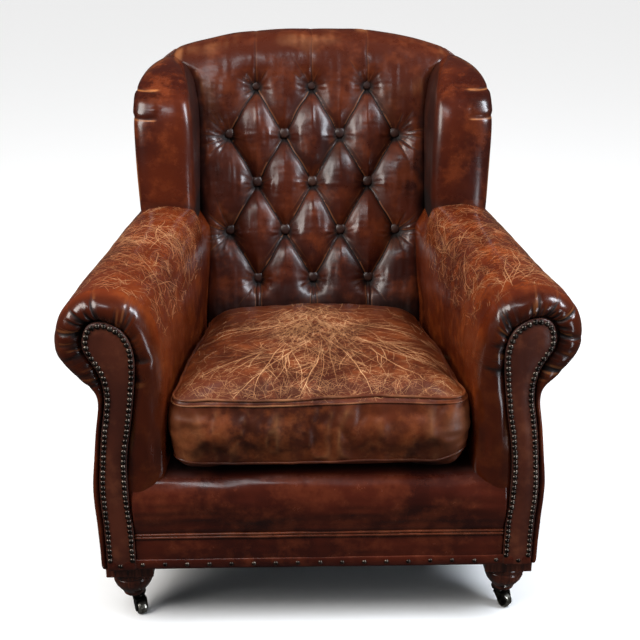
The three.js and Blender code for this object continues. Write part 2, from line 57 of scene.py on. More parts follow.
# Lines that several pieces share, in millimetres.
BASE_DEPTH = 660  # front border to outside back, at BASE_Z
BASE_Z = 130  # underside of the upholstery
BACK_RAKE = 0.214
PLAN_TAPER = 0.000278  # share of the width lost for each millimetre back
LEAN = 0.3435  # how far the buttoned face leans back for each unit up
ARM_FRONT_Y = -16
ARM_FRONT_LEAN = 0.0327
SCROLL_Z = 622
ARM_ROLL = 40


def back_y(z):
    """Face of the outside back."""
    return BASE_DEPTH + BACK_RAKE * (z - BASE_Z)


def taper(y):
    """How the seat and arms narrow towards the back."""
    return 1 - PLAN_TAPER * (y - ARM_FRONT_Y - ARM_ROLL)


def arm_front_y(z):
    """The flat front of an arm, which stands further back below its scroll."""
    return ARM_FRONT_Y + ARM_FRONT_LEAN * (SCROLL_Z - z)


def chair_points(points):
    """Millimetres from the front border, as an array, to metres in the chair's frame."""
    return np.asarray(points, float) * MM + np.array([0.0, FRONT, 0.0])


# ---- Curves and noise ----


def spline(points, count):
    """A smooth open curve through points, sampled evenly between its ends."""
    p = np.asarray(points, float)
    t = np.linspace(0, len(p) - 1, count)
    i = np.minimum(t.astype(int), len(p) - 2)
    f = (t - i)[:, None]
    a, b = p[np.maximum(i - 1, 0)], p[i]
    c, d = p[i + 1], p[np.minimum(i + 2, len(p) - 1)]
    return 0.5 * (2 * b + (c - a) * f + (2 * a - 5 * b + 4 * c - d) * f**2 + (3 * b - a - 3 * c + d) * f**3)


def even(points, count, closed=False):
    """The same curve with its points evenly spaced along it."""
    p = np.asarray(points, float)
    if closed:
        p = np.vstack([p, p[:1]])
    length = np.concatenate([[0], np.cumsum(np.linalg.norm(np.diff(p, axis=0), axis=1))])
    at = np.linspace(0, length[-1], count, endpoint=not closed)
    return np.stack([np.interp(at, length, p[:, k]) for k in range(p.shape[1])], axis=1)


def ease(low, high, x):
    """0 below low, 1 above high and smooth between. With low over high it falls instead."""
    t = np.clip((x - low) / (high - low), 0, 1)
    return t * t * (3 - 2 * t)


def bell(x, middle, width):
    """1 at the middle, falling smoothly to 0 on both sides."""
    return np.exp(-(((x - middle) / width) ** 2))


def xyz(x, y, z):
    """Points from arrays or numbers that fit together."""
    return np.stack(np.broadcast_arrays(x, y, z), -1)


# Large odd numbers that scatter a lattice point's whole numbers.
SCATTER = np.array([374761393, 668265263, 1274126177])
SCATTER_SEED, SCATTER_AGAIN = 974634777, 1103515245
LOW_32, LOW_16 = 0xFFFFFFFF, 0xFFFF


def cells(i, seed):
    """Repeatable values from 0 to 1 for whole-number lattice points."""
    n = ((i * SCATTER).sum(axis=-1) + seed * SCATTER_SEED) & LOW_32
    n = ((n ^ (n >> 13)) * SCATTER_AGAIN) & LOW_32
    return ((n ^ (n >> 16)) & LOW_16) / LOW_16


def noise_at(points, size, seed=0):
    """Smooth noise from -1 to 1 whose lumps are about size across."""
    p = np.asarray(points, float) / size
    i = np.floor(p).astype(np.int64)
    f = p - i
    f = f * f * (3 - 2 * f)
    total = np.zeros(p.shape[:-1])
    for corner in np.ndindex(2, 2, 2):
        c = np.array(corner)
        weight = np.prod(np.where(c, f, 1 - f), axis=-1)
        total += weight * cells(i + c, seed)
    return 2 * total - 1


# ---- Meshes ----


def make_mesh(name, verts, faces, material, slot, body="root", marks=None, smooth=True):
    """A piece from vertices in the chair's frame. marks are per-vertex values that materials read."""
    mesh = bpy.data.meshes.new(name)
    corners = [tuple(v) for v in np.asarray(verts, float)]
    mesh.from_pydata(corners, [], [tuple(int(i) for i in f) for f in faces])
    mesh.update()
    if smooth:
        mesh.polygons.foreach_set("use_smooth", [True] * len(mesh.polygons))
    set_marks(mesh, marks or {})
    mesh.materials.append(material)
    piece = bpy.data.objects.new(name, mesh)
    bpy.context.scene.collection.objects.link(piece)
    fix_normals(mesh)
    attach(piece, body)
    return piece


def ring_mesh(name, grid, material, slot, marks=None):
    """A piece from a grid in millimetres from the front border, each row of which closes on itself."""
    verts = chair_points(grid.reshape(-1, 3))
    return make_mesh(name, verts, ring_faces(*grid.shape[:2]), material, slot, marks=marks)


def set_marks(mesh, marks):
    for mark, values in marks.items():
        attribute = mesh.attributes.new(mark, "FLOAT", "POINT")
        values = np.clip(np.asarray(values, float), 0, 1).astype(np.float32)
        attribute.data.foreach_set("value", values.ravel())


def positions(mesh):
    co = np.zeros(len(mesh.vertices) * 3)
    mesh.vertices.foreach_get("co", co)
    return co.reshape(-1, 3)


def fix_normals(mesh):
    """Turns the faces of a closed mesh outward."""
    co = positions(mesh)
    mesh.calc_loop_triangles()
    tris = np.zeros(len(mesh.loop_triangles) * 3, np.int32)
    mesh.loop_triangles.foreach_get("vertices", tris)
    a, b, c = (co[tris.reshape(-1, 3)[:, k]] for k in range(3))
    volume = np.einsum("ij,ij->i", a, np.cross(b, c)).sum()
    if volume < 0:
        mesh.flip_normals()


def ring_faces(rows, columns, closed_rows=False):
    """Faces of a capped tube whose rows are closed loops. closed_rows joins its ends instead."""
    r = np.arange(rows if closed_rows else rows - 1)[:, None]
    c = np.arange(columns)[None, :]
    nxt = (r + 1) % rows
    right = (c + 1) % columns
    corners = (r * columns + c, r * columns + right, nxt * columns + right, nxt * columns + c)
    quads = np.stack(corners, axis=-1)
    faces = [tuple(q) for q in quads.reshape(-1, 4)]
    if not closed_rows:
        faces.append(tuple(range(columns))[::-1])
        faces.append(tuple(range((rows - 1) * columns, rows * columns)))
    return faces


def tube(path, radius, closed=False, sides=10):
    """Vertices and faces of a round cord along a path of points."""
    p = np.asarray(path, float)
    ahead = np.roll(p, -1, 0) - np.roll(p, 1, 0)
    if not closed:
        ahead[0], ahead[-1] = p[1] - p[0], p[-1] - p[-2]
    ahead /= np.linalg.norm(ahead, axis=1)[:, None]
    side = np.zeros_like(p)
    ref = np.array([0.0, 0.0, 1.0]) if abs(ahead[0][2]) < 0.9 else np.array([1.0, 0.0, 0.0])
    for i, direction in enumerate(ahead):
        ref = ref - direction * ref.dot(direction)
        ref /= np.linalg.norm(ref)
        side[i] = ref
    up = np.cross(ahead, side)
    turn = np.linspace(0, 2 * np.pi, sides, endpoint=False)
    radii = np.broadcast_to(np.asarray(radius, float), (len(p),))[:, None, None]
    turn = turn[None, :, None]
    verts = p[:, None] + radii * (np.cos(turn) * side[:, None] + np.sin(turn) * up[:, None])
    return verts.reshape(-1, 3), ring_faces(len(p), sides, closed_rows=closed)


def joined(parts):
    """Several vertex and face lists as one."""
    verts, faces, start = [], [], 0
    for v, f in parts:
        verts.append(np.asarray(v))
        faces += [tuple(i + start for i in face) for face in f]
        start += len(v)
    return np.vstack(verts), faces


def lathe(profile, sides, axis=(0, 0, 1), origin=(0, 0, 0)):
    """A turned solid: profile is (radius, distance along the axis)."""
    a = Vector(axis).normalized()
    side = a.orthogonal().normalized()
    up = a.cross(side)
    turn = np.linspace(0, 2 * np.pi, sides, endpoint=False)
    spin = np.cos(turn)[:, None] * np.array(side) + np.sin(turn)[:, None] * np.array(up)
    verts = np.array([np.array(origin) + np.array(a) * h + spin * max(r, 1e-5) for r, h in profile])
    return verts.reshape(-1, 3), ring_faces(len(profile), sides)


# ---- Materials ----


class Nodes:
    """A short way to write a node tree."""

    def __init__(self, name):
        self.material = bpy.data.materials.new(name)
        self.material.use_nodes = True
        self.tree = self.material.node_tree
        self.shader = self.tree.nodes["Principled BSDF"]
        self.place = self.add("ShaderNodeTexCoord").outputs["Object"]

    def add(self, kind, **settings):
        node = self.tree.nodes.new(kind)
        for key, value in settings.items():
            setattr(node, key, value)
        return node

    def feed(self, socket, value):
        if isinstance(value, bpy.types.NodeSocket):
            self.tree.links.new(value, socket)
        else:
            socket.default_value = value

    def math(self, operation, a, b=0.0, clamp=False):
        node = self.add("ShaderNodeMath", operation=operation, use_clamp=clamp)
        self.feed(node.inputs[0], a)
        self.feed(node.inputs[1], b)
        return node.outputs[0]

    def plus(self, a, b, clamp=False):
        return self.math("ADD", a, b, clamp)

    def times(self, a, b, clamp=False):
        return self.math("MULTIPLY", a, b, clamp)

    def ramp(self, value, low, high, to_low=0.0, to_high=1.0):
        node = self.add("ShaderNodeMapRange", interpolation_type="SMOOTHSTEP")
        for socket, number in zip(node.inputs, (value, low, high, to_low, to_high)):
            self.feed(socket, number)
        return node.outputs[0]

    def mix(self, factor, a, b):
        """a and b are sockets or (red, green, blue)."""
        node = self.add("ShaderNodeMix", data_type="RGBA")
        self.feed(node.inputs["Factor"], factor)
        for socket, colour in zip(node.inputs[6:8], (a, b)):
            self.feed(socket, colour + (1.0,) if isinstance(colour, tuple) else colour)
        return node.outputs[2]

    def stretched(self, scale, turn=(0, 0, 0), place=None):
        node = self.add("ShaderNodeMapping")
        self.feed(node.inputs["Vector"], place or self.place)
        node.inputs["Scale"].default_value = scale
        node.inputs["Rotation"].default_value = turn
        return node.outputs[0]

    def noise(self, scale, detail=3.0, place=None, rough=0.55, distortion=0.0, colour=False):
        node = self.add("ShaderNodeTexNoise")
        self.feed(node.inputs["Vector"], place or self.place)
        node.inputs["Scale"].default_value = scale
        node.inputs["Detail"].default_value = detail
        node.inputs["Roughness"].default_value = rough
        node.inputs["Distortion"].default_value = distortion
        return node.outputs["Color" if colour else "Fac"]

    def wobbled(self, amount, scale, place=None):
        """The place, pushed about by noise, so that straight cells bend."""
        shift = self.add("ShaderNodeVectorMath", operation="MULTIPLY_ADD")
        self.feed(shift.inputs[0], self.noise(scale, 3.0, place, colour=True))
        shift.inputs[1].default_value = (amount,) * 3
        self.feed(shift.inputs[2], place or self.place)
        return shift.outputs[0]

    def edges(self, scale, place, width):
        """Thin lines along the borders of random cells."""
        node = self.add("ShaderNodeTexVoronoi", feature="DISTANCE_TO_EDGE")
        self.feed(node.inputs["Vector"], place)
        node.inputs["Scale"].default_value = scale
        return self.ramp(node.outputs["Distance"], width, width * 0.25)

    def mark(self, name):
        return self.add("ShaderNodeAttribute", attribute_name=name).outputs["Fac"]

    def bump(self, height, strength, distance, normal=None):
        node = self.add("ShaderNodeBump")
        node.inputs["Strength"].default_value = strength
        node.inputs["Distance"].default_value = distance
        self.feed(node.inputs["Height"], height)
        if normal is not None:
            self.feed(node.inputs["Normal"], normal)
        return node.outputs[0]

    def finish(self, colour, roughness, normal, **sockets):
        self.feed(self.shader.inputs["Base Color"], colour)
        self.feed(self.shader.inputs["Roughness"], roughness)
        if normal is not None:
            self.feed(self.shader.inputs["Normal"], normal)
        for key, value in sockets.items():
            self.shader.inputs[key.replace("_", " ")].default_value = value
        return self.material


FOLD_SHADE_BLACK = (0.004, 0.0018, 0.0015)  # painted shade in a fold
PLEAT_SHADE_BLACK = (0.003, 0.0015, 0.001)  # and painted shade at the bottom of a pleat


def leather(name, deep, middle, light, tan, gloss=0.34, grain=0.5, coat=0.3, craze=0.5):
    """Waxed hide. It reads the marks stain (darker hide: rubbed by hands on the arm rolls, painted shade on
    the right wing and the piping, elsewhere simply darker low down and towards the rear), shade (painted
    shade in folds and recesses), wear (rubbed to tan, partly a painted highlight on the seat lip's nose and
    the crest's side edges) and crack (crazed finish). Some pieces also have near, how close a pleat is, and
    line, the
    signed distance to its middle: a pleat's middle is painted in shade and its lip in tan, part rub and part
    painted highlight."""
    n = Nodes(name)
    blotch = n.noise(5.0, 4.0, distortion=0.3)
    mottle = n.noise(42.0, 6.0, rough=0.62)
    cloud = n.noise(16.0, 5.0)
    streak = n.noise(26.0, 4.0, n.stretched((1.0, 1.0, 0.3)))
    colour = n.mix(n.ramp(blotch, 0.36, 0.62), deep, middle)
    tone = n.plus(n.times(cloud, 0.55), n.times(mottle, 0.45))
    colour = n.mix(n.ramp(tone, 0.46, 0.64, 0.0, 0.8), colour, light)
    wear = n.mark("wear")
    patch = n.plus(n.times(n.plus(mottle, streak), 0.30), wear)
    rub = n.times(n.ramp(patch, 0.42, 1.10), wear, clamp=True)
    colour = n.mix(rub, colour, tan)
    crack = n.mark("crack")
    gate = n.ramp(n.plus(crack, n.times(n.noise(11.0, 3.0), 0.55)), 0.45, 1.05)
    fine = n.edges(95.0, n.wobbled(0.004, 90.0), 0.045)
    hair = n.edges(48.0, n.wobbled(0.008, 45.0), 0.018)
    lines = n.math("MAXIMUM", n.times(fine, 0.55), hair)
    lines = n.times(lines, n.ramp(mottle, 0.38, 0.60))
    gate = n.times(gate, n.ramp(crack, 0.0, 0.25), clamp=True)
    lines = n.times(lines, gate, clamp=True)
    colour = n.mix(n.times(lines, craze), colour, tan)
    # The stain mark darkens the hide: rubbed by hands on the arm rolls, painted shade on the right wing and
    # the piping.
    stain_and_shade_colour = tuple(0.30 * part for part in deep)
    stain_and_shade_mask = n.times(n.mark("stain"), n.ramp(blotch, 0.25, 0.60, 0.95, 0.70))
    colour = n.mix(stain_and_shade_mask, colour, stain_and_shade_colour)
    shade = n.mark("shade")
    colour = n.mix(n.times(shade, 0.93), colour, FOLD_SHADE_BLACK)
    # A pleat's middle is painted in shade, and the lip beside it in tan, part rub and part painted
    # highlight.
    near = n.mark("near")
    off = n.math("SUBTRACT", n.mark("line"), 0.5)
    valley = n.times(near, n.ramp(n.math("ABSOLUTE", off), 0.125, 0.035), clamp=True)
    beside = n.math("ABSOLUTE", n.plus(off, 0.185))
    ridge = n.times(near, n.ramp(beside, 0.11, 0.03), clamp=True)
    colour = n.mix(n.times(ridge, 0.34), colour, tan)
    colour = n.mix(n.times(valley, 0.96), colour, PLEAT_SHADE_BLACK)
    dark = n.math("MAXIMUM", n.times(shade, 0.8), valley)
    roughness = n.plus(n.times(mottle, 0.16), gloss - 0.09)
    roughness = n.plus(roughness, n.times(n.math("MAXIMUM", lines, rub), 0.20))
    roughness = n.plus(roughness, n.times(dark, 0.5), clamp=True)
    pores = n.add("ShaderNodeTexVoronoi")
    pores.inputs["Scale"].default_value = 620.0
    n.feed(pores.inputs["Vector"], n.wobbled(0.001, 400.0))
    normal = n.bump(pores.outputs["Distance"], 0.10 * grain, 0.0006)
    normal = n.bump(n.noise(150.0, 4.0, n.wobbled(0.01, 30.0)), 0.20 * grain, 0.0012, normal)
    normal = n.bump(streak, 0.22, 0.004, normal)
    normal = n.bump(cloud, 0.16, 0.006, normal)
    normal = n.bump(n.math("SUBTRACT", 1.0, lines), 0.25, 0.0006, normal)
    n.feed(n.shader.inputs["Coat Weight"], n.times(n.math("SUBTRACT", 1.0, dark), coat))
    return n.finish(colour, roughness, normal, Coat_Roughness=0.18, Specular_IOR_Level=0.42)


def wood(name, dark, light, roughness, ring=22.0, coat=0.0):
    n = Nodes(name)
    along = n.stretched((1.0, 1.0, 0.12))
    figure = n.noise(ring, 5.0, along, distortion=1.2)
    pores = n.noise(260.0, 3.0, n.stretched((1.0, 1.0, 0.06)))
    colour = n.mix(n.ramp(figure, 0.35, 0.68), dark, light)
    colour = n.mix(n.ramp(pores, 0.58, 0.72, 0.0, 0.45), colour, dark)
    rough = n.plus(n.times(figure, 0.12), roughness - 0.06)
    normal = n.bump(pores, 0.12, 0.0005)
    return n.finish(colour, rough, normal, Coat_Weight=coat, Coat_Roughness=0.12)


def metal(name, dark, light, roughness, scale=90.0):
    n = Nodes(name)
    stain = n.noise(scale, 5.0)
    fine = n.noise(scale * 9, 3.0)
    colour = n.mix(n.ramp(stain, 0.38, 0.64), dark, light)
    rough = n.plus(n.times(stain, 0.22), roughness - 0.1)
    return n.finish(colour, rough, n.bump(fine, 0.15, 0.0003), Metallic=1.0)


def cloth(name, dark, light, pitch, roughness=0.9):
    n = Nodes(name)
    threads = []
    for direction in ("X", "Y"):
        wave = n.add("ShaderNodeTexWave", bands_direction=direction)
        n.feed(wave.inputs["Vector"], n.place)
        wave.inputs["Scale"].default_value = 0.314 / pitch
        wave.inputs["Distortion"].default_value = 0.6
        threads.append(wave.outputs["Fac"])
    weave = n.times(threads[0], threads[1])
    soil = n.noise(14.0, 4.0)
    colour = n.mix(n.times(n.plus(weave, soil), 0.5), dark, light)
    return n.finish(colour, roughness, n.bump(weave, 0.5, pitch * 0.4))


BACK_LEATHER = leather("back_leather", (0.030, 0.0056, 0.0032), (0.070, 0.0120, 0.0042),
    (0.135, 0.0260, 0.0070), (0.42, 0.155, 0.055), gloss=0.30, coat=0.2)
WING_LEATHER = leather("wing_leather", (0.044, 0.0064, 0.0028), (0.092, 0.0140, 0.0040),
    (0.170, 0.0310, 0.0075), (0.58, 0.20, 0.055), gloss=0.27)
ARM_LEATHER = leather("arm_leather", (0.070, 0.0100, 0.0032), (0.132, 0.0205, 0.0046),
    (0.225, 0.0430, 0.0080), (0.48, 0.185, 0.060), gloss=0.25, coat=0.35)
SEAT_LEATHER = leather("seat_leather", (0.050, 0.0095, 0.0036), (0.112, 0.0215, 0.0060),
    (0.195, 0.0440, 0.0110), (0.44, 0.190, 0.074), gloss=0.42, coat=0.06, craze=0.75)
DARK_LEATHER = leather("dark_leather", (0.036, 0.0054, 0.0028), (0.076, 0.0115, 0.0046),
    (0.130, 0.0250, 0.0090), (0.38, 0.140, 0.055), gloss=0.26, coat=0.45)
FACING_LEATHER = leather("facing_leather", (0.060, 0.0140, 0.0080), (0.108, 0.0260, 0.0130),
    (0.170, 0.0480, 0.0220), (0.40, 0.160, 0.070), gloss=0.34)
BUTTON_LEATHER = leather("button_hide", (0.022, 0.009, 0.007), (0.040, 0.016, 0.012),
    (0.065, 0.028, 0.018), (0.2, 0.09, 0.05), gloss=0.42)
CRACK_LEATHER = leather("cracked_finish", (0.30, 0.130, 0.052), (0.50, 0.245, 0.108),
    (0.66, 0.380, 0.195), (0.70, 0.44, 0.25), gloss=0.62, coat=0.0)
BEECH = wood("beech", (0.42, 0.27, 0.15), (0.62, 0.44, 0.27), 0.62)
MAHOGANY = wood("mahogany", (0.040, 0.010, 0.006), (0.150, 0.036, 0.017), 0.26, ring=60.0, coat=0.5)
BRONZE = metal("antique_bronze", (0.035, 0.028, 0.024), (0.13, 0.105, 0.085), 0.32)
CASTER_METAL = metal("caster_bronze", (0.02, 0.019, 0.017), (0.09, 0.08, 0.065), 0.34)
WHEEL_METAL = metal("wheel_metal", (0.36, 0.34, 0.28), (0.78, 0.75, 0.66), 0.28)
SPRING_STEEL = metal("spring_steel", (0.30, 0.30, 0.31), (0.55, 0.55, 0.56), 0.36)
HESSIAN = cloth("hessian", (0.22, 0.16, 0.09), (0.52, 0.42, 0.27), 0.0022)
LINING = cloth("lining", (0.006, 0.006, 0.007), (0.022, 0.022, 0.025), 0.0008)


# ---- Shaping helpers ----


def normals_of(grid, closed=False):
    """Unit normals of a grid of points, by the change along its rows and columns."""
    down = np.gradient(grid, axis=0)
    if closed:
        across = (np.roll(grid, -1, 1) - np.roll(grid, 1, 1)) / 2
    else:
        across = np.gradient(grid, axis=1)
    n = np.cross(across, down)
    return n / np.maximum(np.linalg.norm(n, axis=-1, keepdims=True), 1e-12)


def edge_roll(distance, radius):
    """How far a padded surface has dropped at a distance from its edge."""
    t = np.clip(1 - distance / radius, 0, 1)
    return radius * (1 - np.sqrt(1 - t * t))


def crease(offset, sharp, soft):
    """A fold's cross-section: steep on one side of its line and easy on the other."""
    width = np.where(offset > 0, sharp, soft)
    return np.exp(-np.abs(offset) / width)


# ---- The buttoned back ----

BUTTON_PITCH = 120
ROW_PITCH = 98.5
LOWEST_ROW = 497
BUTTON_COUNT = 17
CRATER_DEPTH, CRATER_RADIUS = 17.0, 23.0
PLUMP, PLUMP_REACH = 11.5, 25.0  # how far the padding stands out between the folds, and how quickly
BACK_THICK = 22
FAR = 1e3  # further than any fold reaches
BACK_ROWS, BACK_COLUMNS = 306, 220
BACK_PATH = [(530, 300), (524, 370), (526, 450), (541, 500), (576, 600), (610, 700), (644, 800), (678, 900),
             (692, 940), (707, 968), (732, 991), (766, 1000), (801, 992), (826, 971), (836, 946), (834, 925)]
BACK_HALF = [(300, 238), (600, 240), (680, 252), (840, 254), (900, 262), (930, 276), (955, 304), (985, 317)]
CREST_DROP = 48  # how much lower the crest is at its ends


def button_rows():
    """(x, height) of each button, in millimetres, with its row."""
    places = []
    for row in range(5):
        steps = (-1, 0, 1) if row % 2 == 0 else (-1.5, -0.5, 0.5, 1.5)
        places += [(step * BUTTON_PITCH, LOWEST_ROW + row * ROW_PITCH, row) for step in steps]
    return places


def back_folds(s_at, length):
    """Every fold of the tufting, in (x, along) millimetres: its ends, depth, two widths and kind."""
    rng = np.random.default_rng(7)
    folds = []
    buttons = [(x, s_at(z), row) for x, z, row in button_rows()]

    def ray(x, s, degrees, reach, depth, sharp=1.9, soft=4.5):
        turn = math.radians(degrees)
        x2, s2 = x + reach * math.cos(turn), s + reach * math.sin(turn)
        folds.append((x, s, x2, s2, depth, sharp, soft, "gather"))

    for x, s, row in buttons:
        for x2, s2, row2 in buttons:
            if row2 == row + 1 and abs(abs(x2 - x) - BUTTON_PITCH / 2) < 1:
                folds.append((x, s, x2, s2, 5.8, 2.6, 8.5, "pleat"))
        if row == 4:
            folds.append((x, s, x + rng.normal(0, 2), length, 4.2, 2.2, 6.0, "crest"))
            for degrees in (128, 143, 158, 172, 60):
                ray(x, s, degrees + rng.uniform(-5, 5), rng.uniform(34, 62), rng.uniform(2.0, 3.8))
        if row == 0:
            for shift in (-6.0, 7.0):
                folds.append((x + shift * 0.5, s, x + shift, 0.0, 4.6, 2.4, 6.5, "crest"))
        if row % 2 == 1 and abs(x) > BUTTON_PITCH:
            middle = 180 if x < 0 else 0
            for degrees in (-68, -40, -18, -4, 9, 24, 44, 66):
                ray(x, s, middle + degrees + rng.uniform(-5, 5), rng.uniform(40, 78), rng.uniform(2.6, 4.8))
        if row % 2 == 0 and row < 4 and abs(x) > 1:
            middle = 180 if x < 0 else 0
            for degrees in (-50, -22, 4, 28, 52):
                ray(x, s, middle + degrees + rng.uniform(-7, 7), rng.uniform(26, 46), rng.uniform(1.6, 3.0))
        for _ in range(9):
            ray(x, s, rng.uniform(0, 360), rng.uniform(20, 48), rng.uniform(0.9, 2.2))
        # A second crease beside a pleat, where the hide has doubled over.
        for _ in range(2):
            across = rng.choice([-1, 1]) * rng.uniform(7, 13)
            reach = rng.uniform(40, 75)
            up = rng.choice([-1, 1])
            x2 = x + across + 0.55 * reach * np.sign(across)
            ends = (x + across, s + up * 12, x2, s + up * reach)
            folds.append(ends + (rng.uniform(1.4, 2.6), 1.9, 4.5, "gather"))
    return folds, buttons


def fold_field(x, s, folds, over_crest):
    """At each point: how deep the folds press, the distance to a pleat, and the leather's near and line."""
    deep = np.zeros_like(x)
    nearest = np.full_like(x, FAR)
    closest = np.full_like(x, FAR)
    line = np.full_like(x, 0.5)
    near = np.zeros_like(x)
    wander = noise_at(xyz(x, s, 0), 30.0, 3) * 1.7
    for x0, s0, x1, s1, depth, sharp, soft, kind in folds:
        run = math.hypot(x1 - x0, s1 - s0)
        ux, us = (x1 - x0) / run, (s1 - s0) / run
        t = (x - x0) * ux + (s - s0) * us
        flip = 1 if ux >= 0 else -1
        a = ((x - x0) * us - (s - s0) * ux) * flip + wander * np.clip(np.minimum(t, run - t) / 20, 0, 1)
        past = np.maximum(np.maximum(-t, t - run), 0)
        strength = depth * bell(past, 0, 4.0)
        if kind == "gather":
            strength = strength * np.clip(1 - t / run, 0, 1) ** 0.7 * ease(-2, 9, t)
        elif kind == "crest":
            strength = strength * (1 - 0.72 * over_crest)
        else:
            nearest = np.minimum(nearest, np.hypot(a, past))
        deep = np.maximum(deep, strength * crease(a, sharp, soft))
        reach = np.hypot(a, past * 2)
        drawn = np.clip(strength / 4.6, 0, 1) * ease(8.0, 4.0, np.abs(a))
        if kind == "crest":
            drawn = drawn * 0.6
        mine = reach < closest
        closest = np.where(mine, reach, closest)
        line = np.where(mine, 0.5 + np.clip(a, -8, 8) / 16, line)
        near = np.where(mine, drawn, near)
    return deep, nearest, near, line


def tufted_back():
    path = even(spline(BACK_PATH, 600), BACK_ROWS)
    along = np.concatenate([[0], np.cumsum(np.linalg.norm(np.diff(path, axis=0), axis=1))])
    length = along[-1]
    top = int(np.argmax(path[:, 1]))

    def s_at(z):
        return float(np.interp(z, path[:top, 1], along[:top]))

    forward = np.gradient(path, axis=0)
    forward /= np.linalg.norm(forward, axis=1)[:, None]
    normal = np.stack([-forward[:, 1], forward[:, 0]], axis=1)
    heights = np.where(np.arange(BACK_ROWS) < top, path[:, 1], 1000.0)
    half = np.interp(heights, *zip(*BACK_HALF))
    u = np.linspace(-1, 1, BACK_COLUMNS)
    x = half[:, None] * u[None, :]
    s = np.broadcast_to(along[:, None], x.shape)

    folds, places = back_folds(s_at, length)
    over_crest = ease(s_at(860), along[top] - 20, s)
    deep, nearest, near, line = fold_field(x, s, folds, over_crest)
    h = -deep
    crater = np.zeros_like(x)
    for bx, bs, _row in places:
        r = np.hypot(x - bx, (s - bs) * 0.92)
        nearest = np.minimum(nearest, r)
        crater = np.maximum(crater, np.exp(-((r / CRATER_RADIUS) ** 1.6)))
        turn = np.arctan2(s - bs, x - bx)
        petals = np.cos(11 * turn + bx) + 0.6 * np.cos(17 * turn + bs)
        h += 0.55 * petals * bell(r, 19, 9.0)
    h -= CRATER_DEPTH * crater
    h -= PLUMP * np.exp(-((nearest / PLUMP_REACH) ** 1.5))
    lumps = noise_at(xyz(x, s, 5), 55.0, 11)
    ripple = noise_at(xyz(x * 2.2, s * 0.55, 0), 20.0, 5)
    cross = noise_at(xyz(x * 0.6, s * 2.4, 9), 16.0, 6)
    h += 1.6 * lumps + (0.8 * ripple + 0.35 * cross) * ease(8, 30, nearest) * (1 - over_crest)
    edge = (1 - np.abs(u))[None, :] * half[:, None]
    h -= edge_roll(edge, 34.0)

    y = path[:, 0][:, None] + normal[:, 0][:, None] * h
    z = path[:, 1][:, None] + normal[:, 1][:, None] * h
    weight = ease(s_at(880), along[top], along)[:, None]
    z = z - weight * CREST_DROP * (np.abs(x) / 313.0) ** 2.6
    grid = np.stack([x, y, z], -1)
    # Each row closes behind the padding, so the cover is a body and not a sheet.
    behind = grid[:, [-1, 0]].copy()
    behind[..., 1:] -= normal[:, None, :] * BACK_THICK

    pit = np.zeros_like(x)
    for bx, bs, _row in places:
        pit = np.maximum(pit, ease(19, 9, np.hypot(x - bx, s - bs)))
    low = ease(s_at(900), s_at(820), s)
    shade = 0.80 * pit + 0.42 * np.exp(-((nearest / 11.0) ** 1.4)) + 0.85 * ease(24, 4, edge) * low
    shade = np.maximum(shade, 0.85 * ease(200, 120, s))
    over_top = ease(along[top] - 110, along[top] - 10, s)
    wear = 0.30 * ease(0.2, 0.9, lumps) + 0.26 * over_top * (0.8 + 0.5 * ripple)
    # Tan along the pad's sides up at the crest: rubbed hide, and partly a painted highlight where the edge
    # rolls over.
    wear += 0.50 * ease(60, 8, edge) * (1 - low) * (0.6 + 0.6 * ripple)
    marks = {"shade": shade, "wear": wear, "crack": 0.12 + 0.0 * x, "near": near, "line": line}
    marks = {mark: np.concatenate([v, v[:, [-1, 0]]], axis=1) for mark, v in marks.items()}
    whole = np.concatenate([grid, behind], axis=1)
    piece = ring_mesh("tufted_back", whole, BACK_LEATHER, "leather", marks)
    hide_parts("inside_back")


def buttons():
    outward = np.array([0, -1, LEAN]) / math.hypot(1, LEAN)
    profile = [(0.0112, -0.007), (0.0126, -0.002), (0.0122, 0.0012), (0.0104, 0.0034), (0.0070, 0.0048),
               (0.0030, 0.0055), (0.0, 0.0056)]
    for i in range(1, BUTTON_COUNT + 1):
        low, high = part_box(f"button_{i}")
        centre = np.array((low + high) / 2) + outward * 0.0012
        verts, faces = lathe(profile, 28, outward, centre)
        verts += 0.00035 * noise_at(verts, 0.004, i)[:, None] * outward
        piece = make_mesh(f"button_cap_{i}", verts, faces, BUTTON_LEATHER, "button_leather")
        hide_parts(f"button_{i}")


# ---- Arms ----

# Sections of the arm from its foot on the outside, over the scroll, to its foot on the inside, as (x, z).
ARM_OUTSIDE = [(401, 130), (403, 215), (404, 300), (391, 405), (384, 478), (418, 514), (449, 560)]
ARM_INSIDE = [(268, 450), (273, 360), (280, 303), (322, 257), (336, 235), (336, 130)]
ARM_SECTION = ARM_OUTSIDE + [(441, 622), (400, 662), (345, 666), (294, 636), (267, 550)] + ARM_INSIDE
ARM_REAR_SECTION = ARM_OUTSIDE + [(443, 627), (402, 670), (336, 684), (273, 662), (261, 560)] + ARM_INSIDE
ARM_REAR_Y = 470
ARM_FACING = [(388, 130), (388, 215), (390, 300), (380, 405), (369, 478), (375, 526), (398, 572), (393, 608),
              (373, 621), (345, 615), (323, 592), (314, 548), (323, 460), (337, 375), (341, 320), (340, 262),
              (337, 225), (336, 130)]
ARM_COLUMNS = 320
ROLL_ROWS, LENGTH_ROWS = 60, 88
ROLL_TURN = 116  # degrees that the front roll turns before it is tacked under the facing
GATHER_SPAN = (4.6, 11.5)  # where gathers meet the scroll, counted in the section's points
GATHER_COUNT = 38
WING_INNER = 248  # the arm's inner side keeps outside this beside the wing


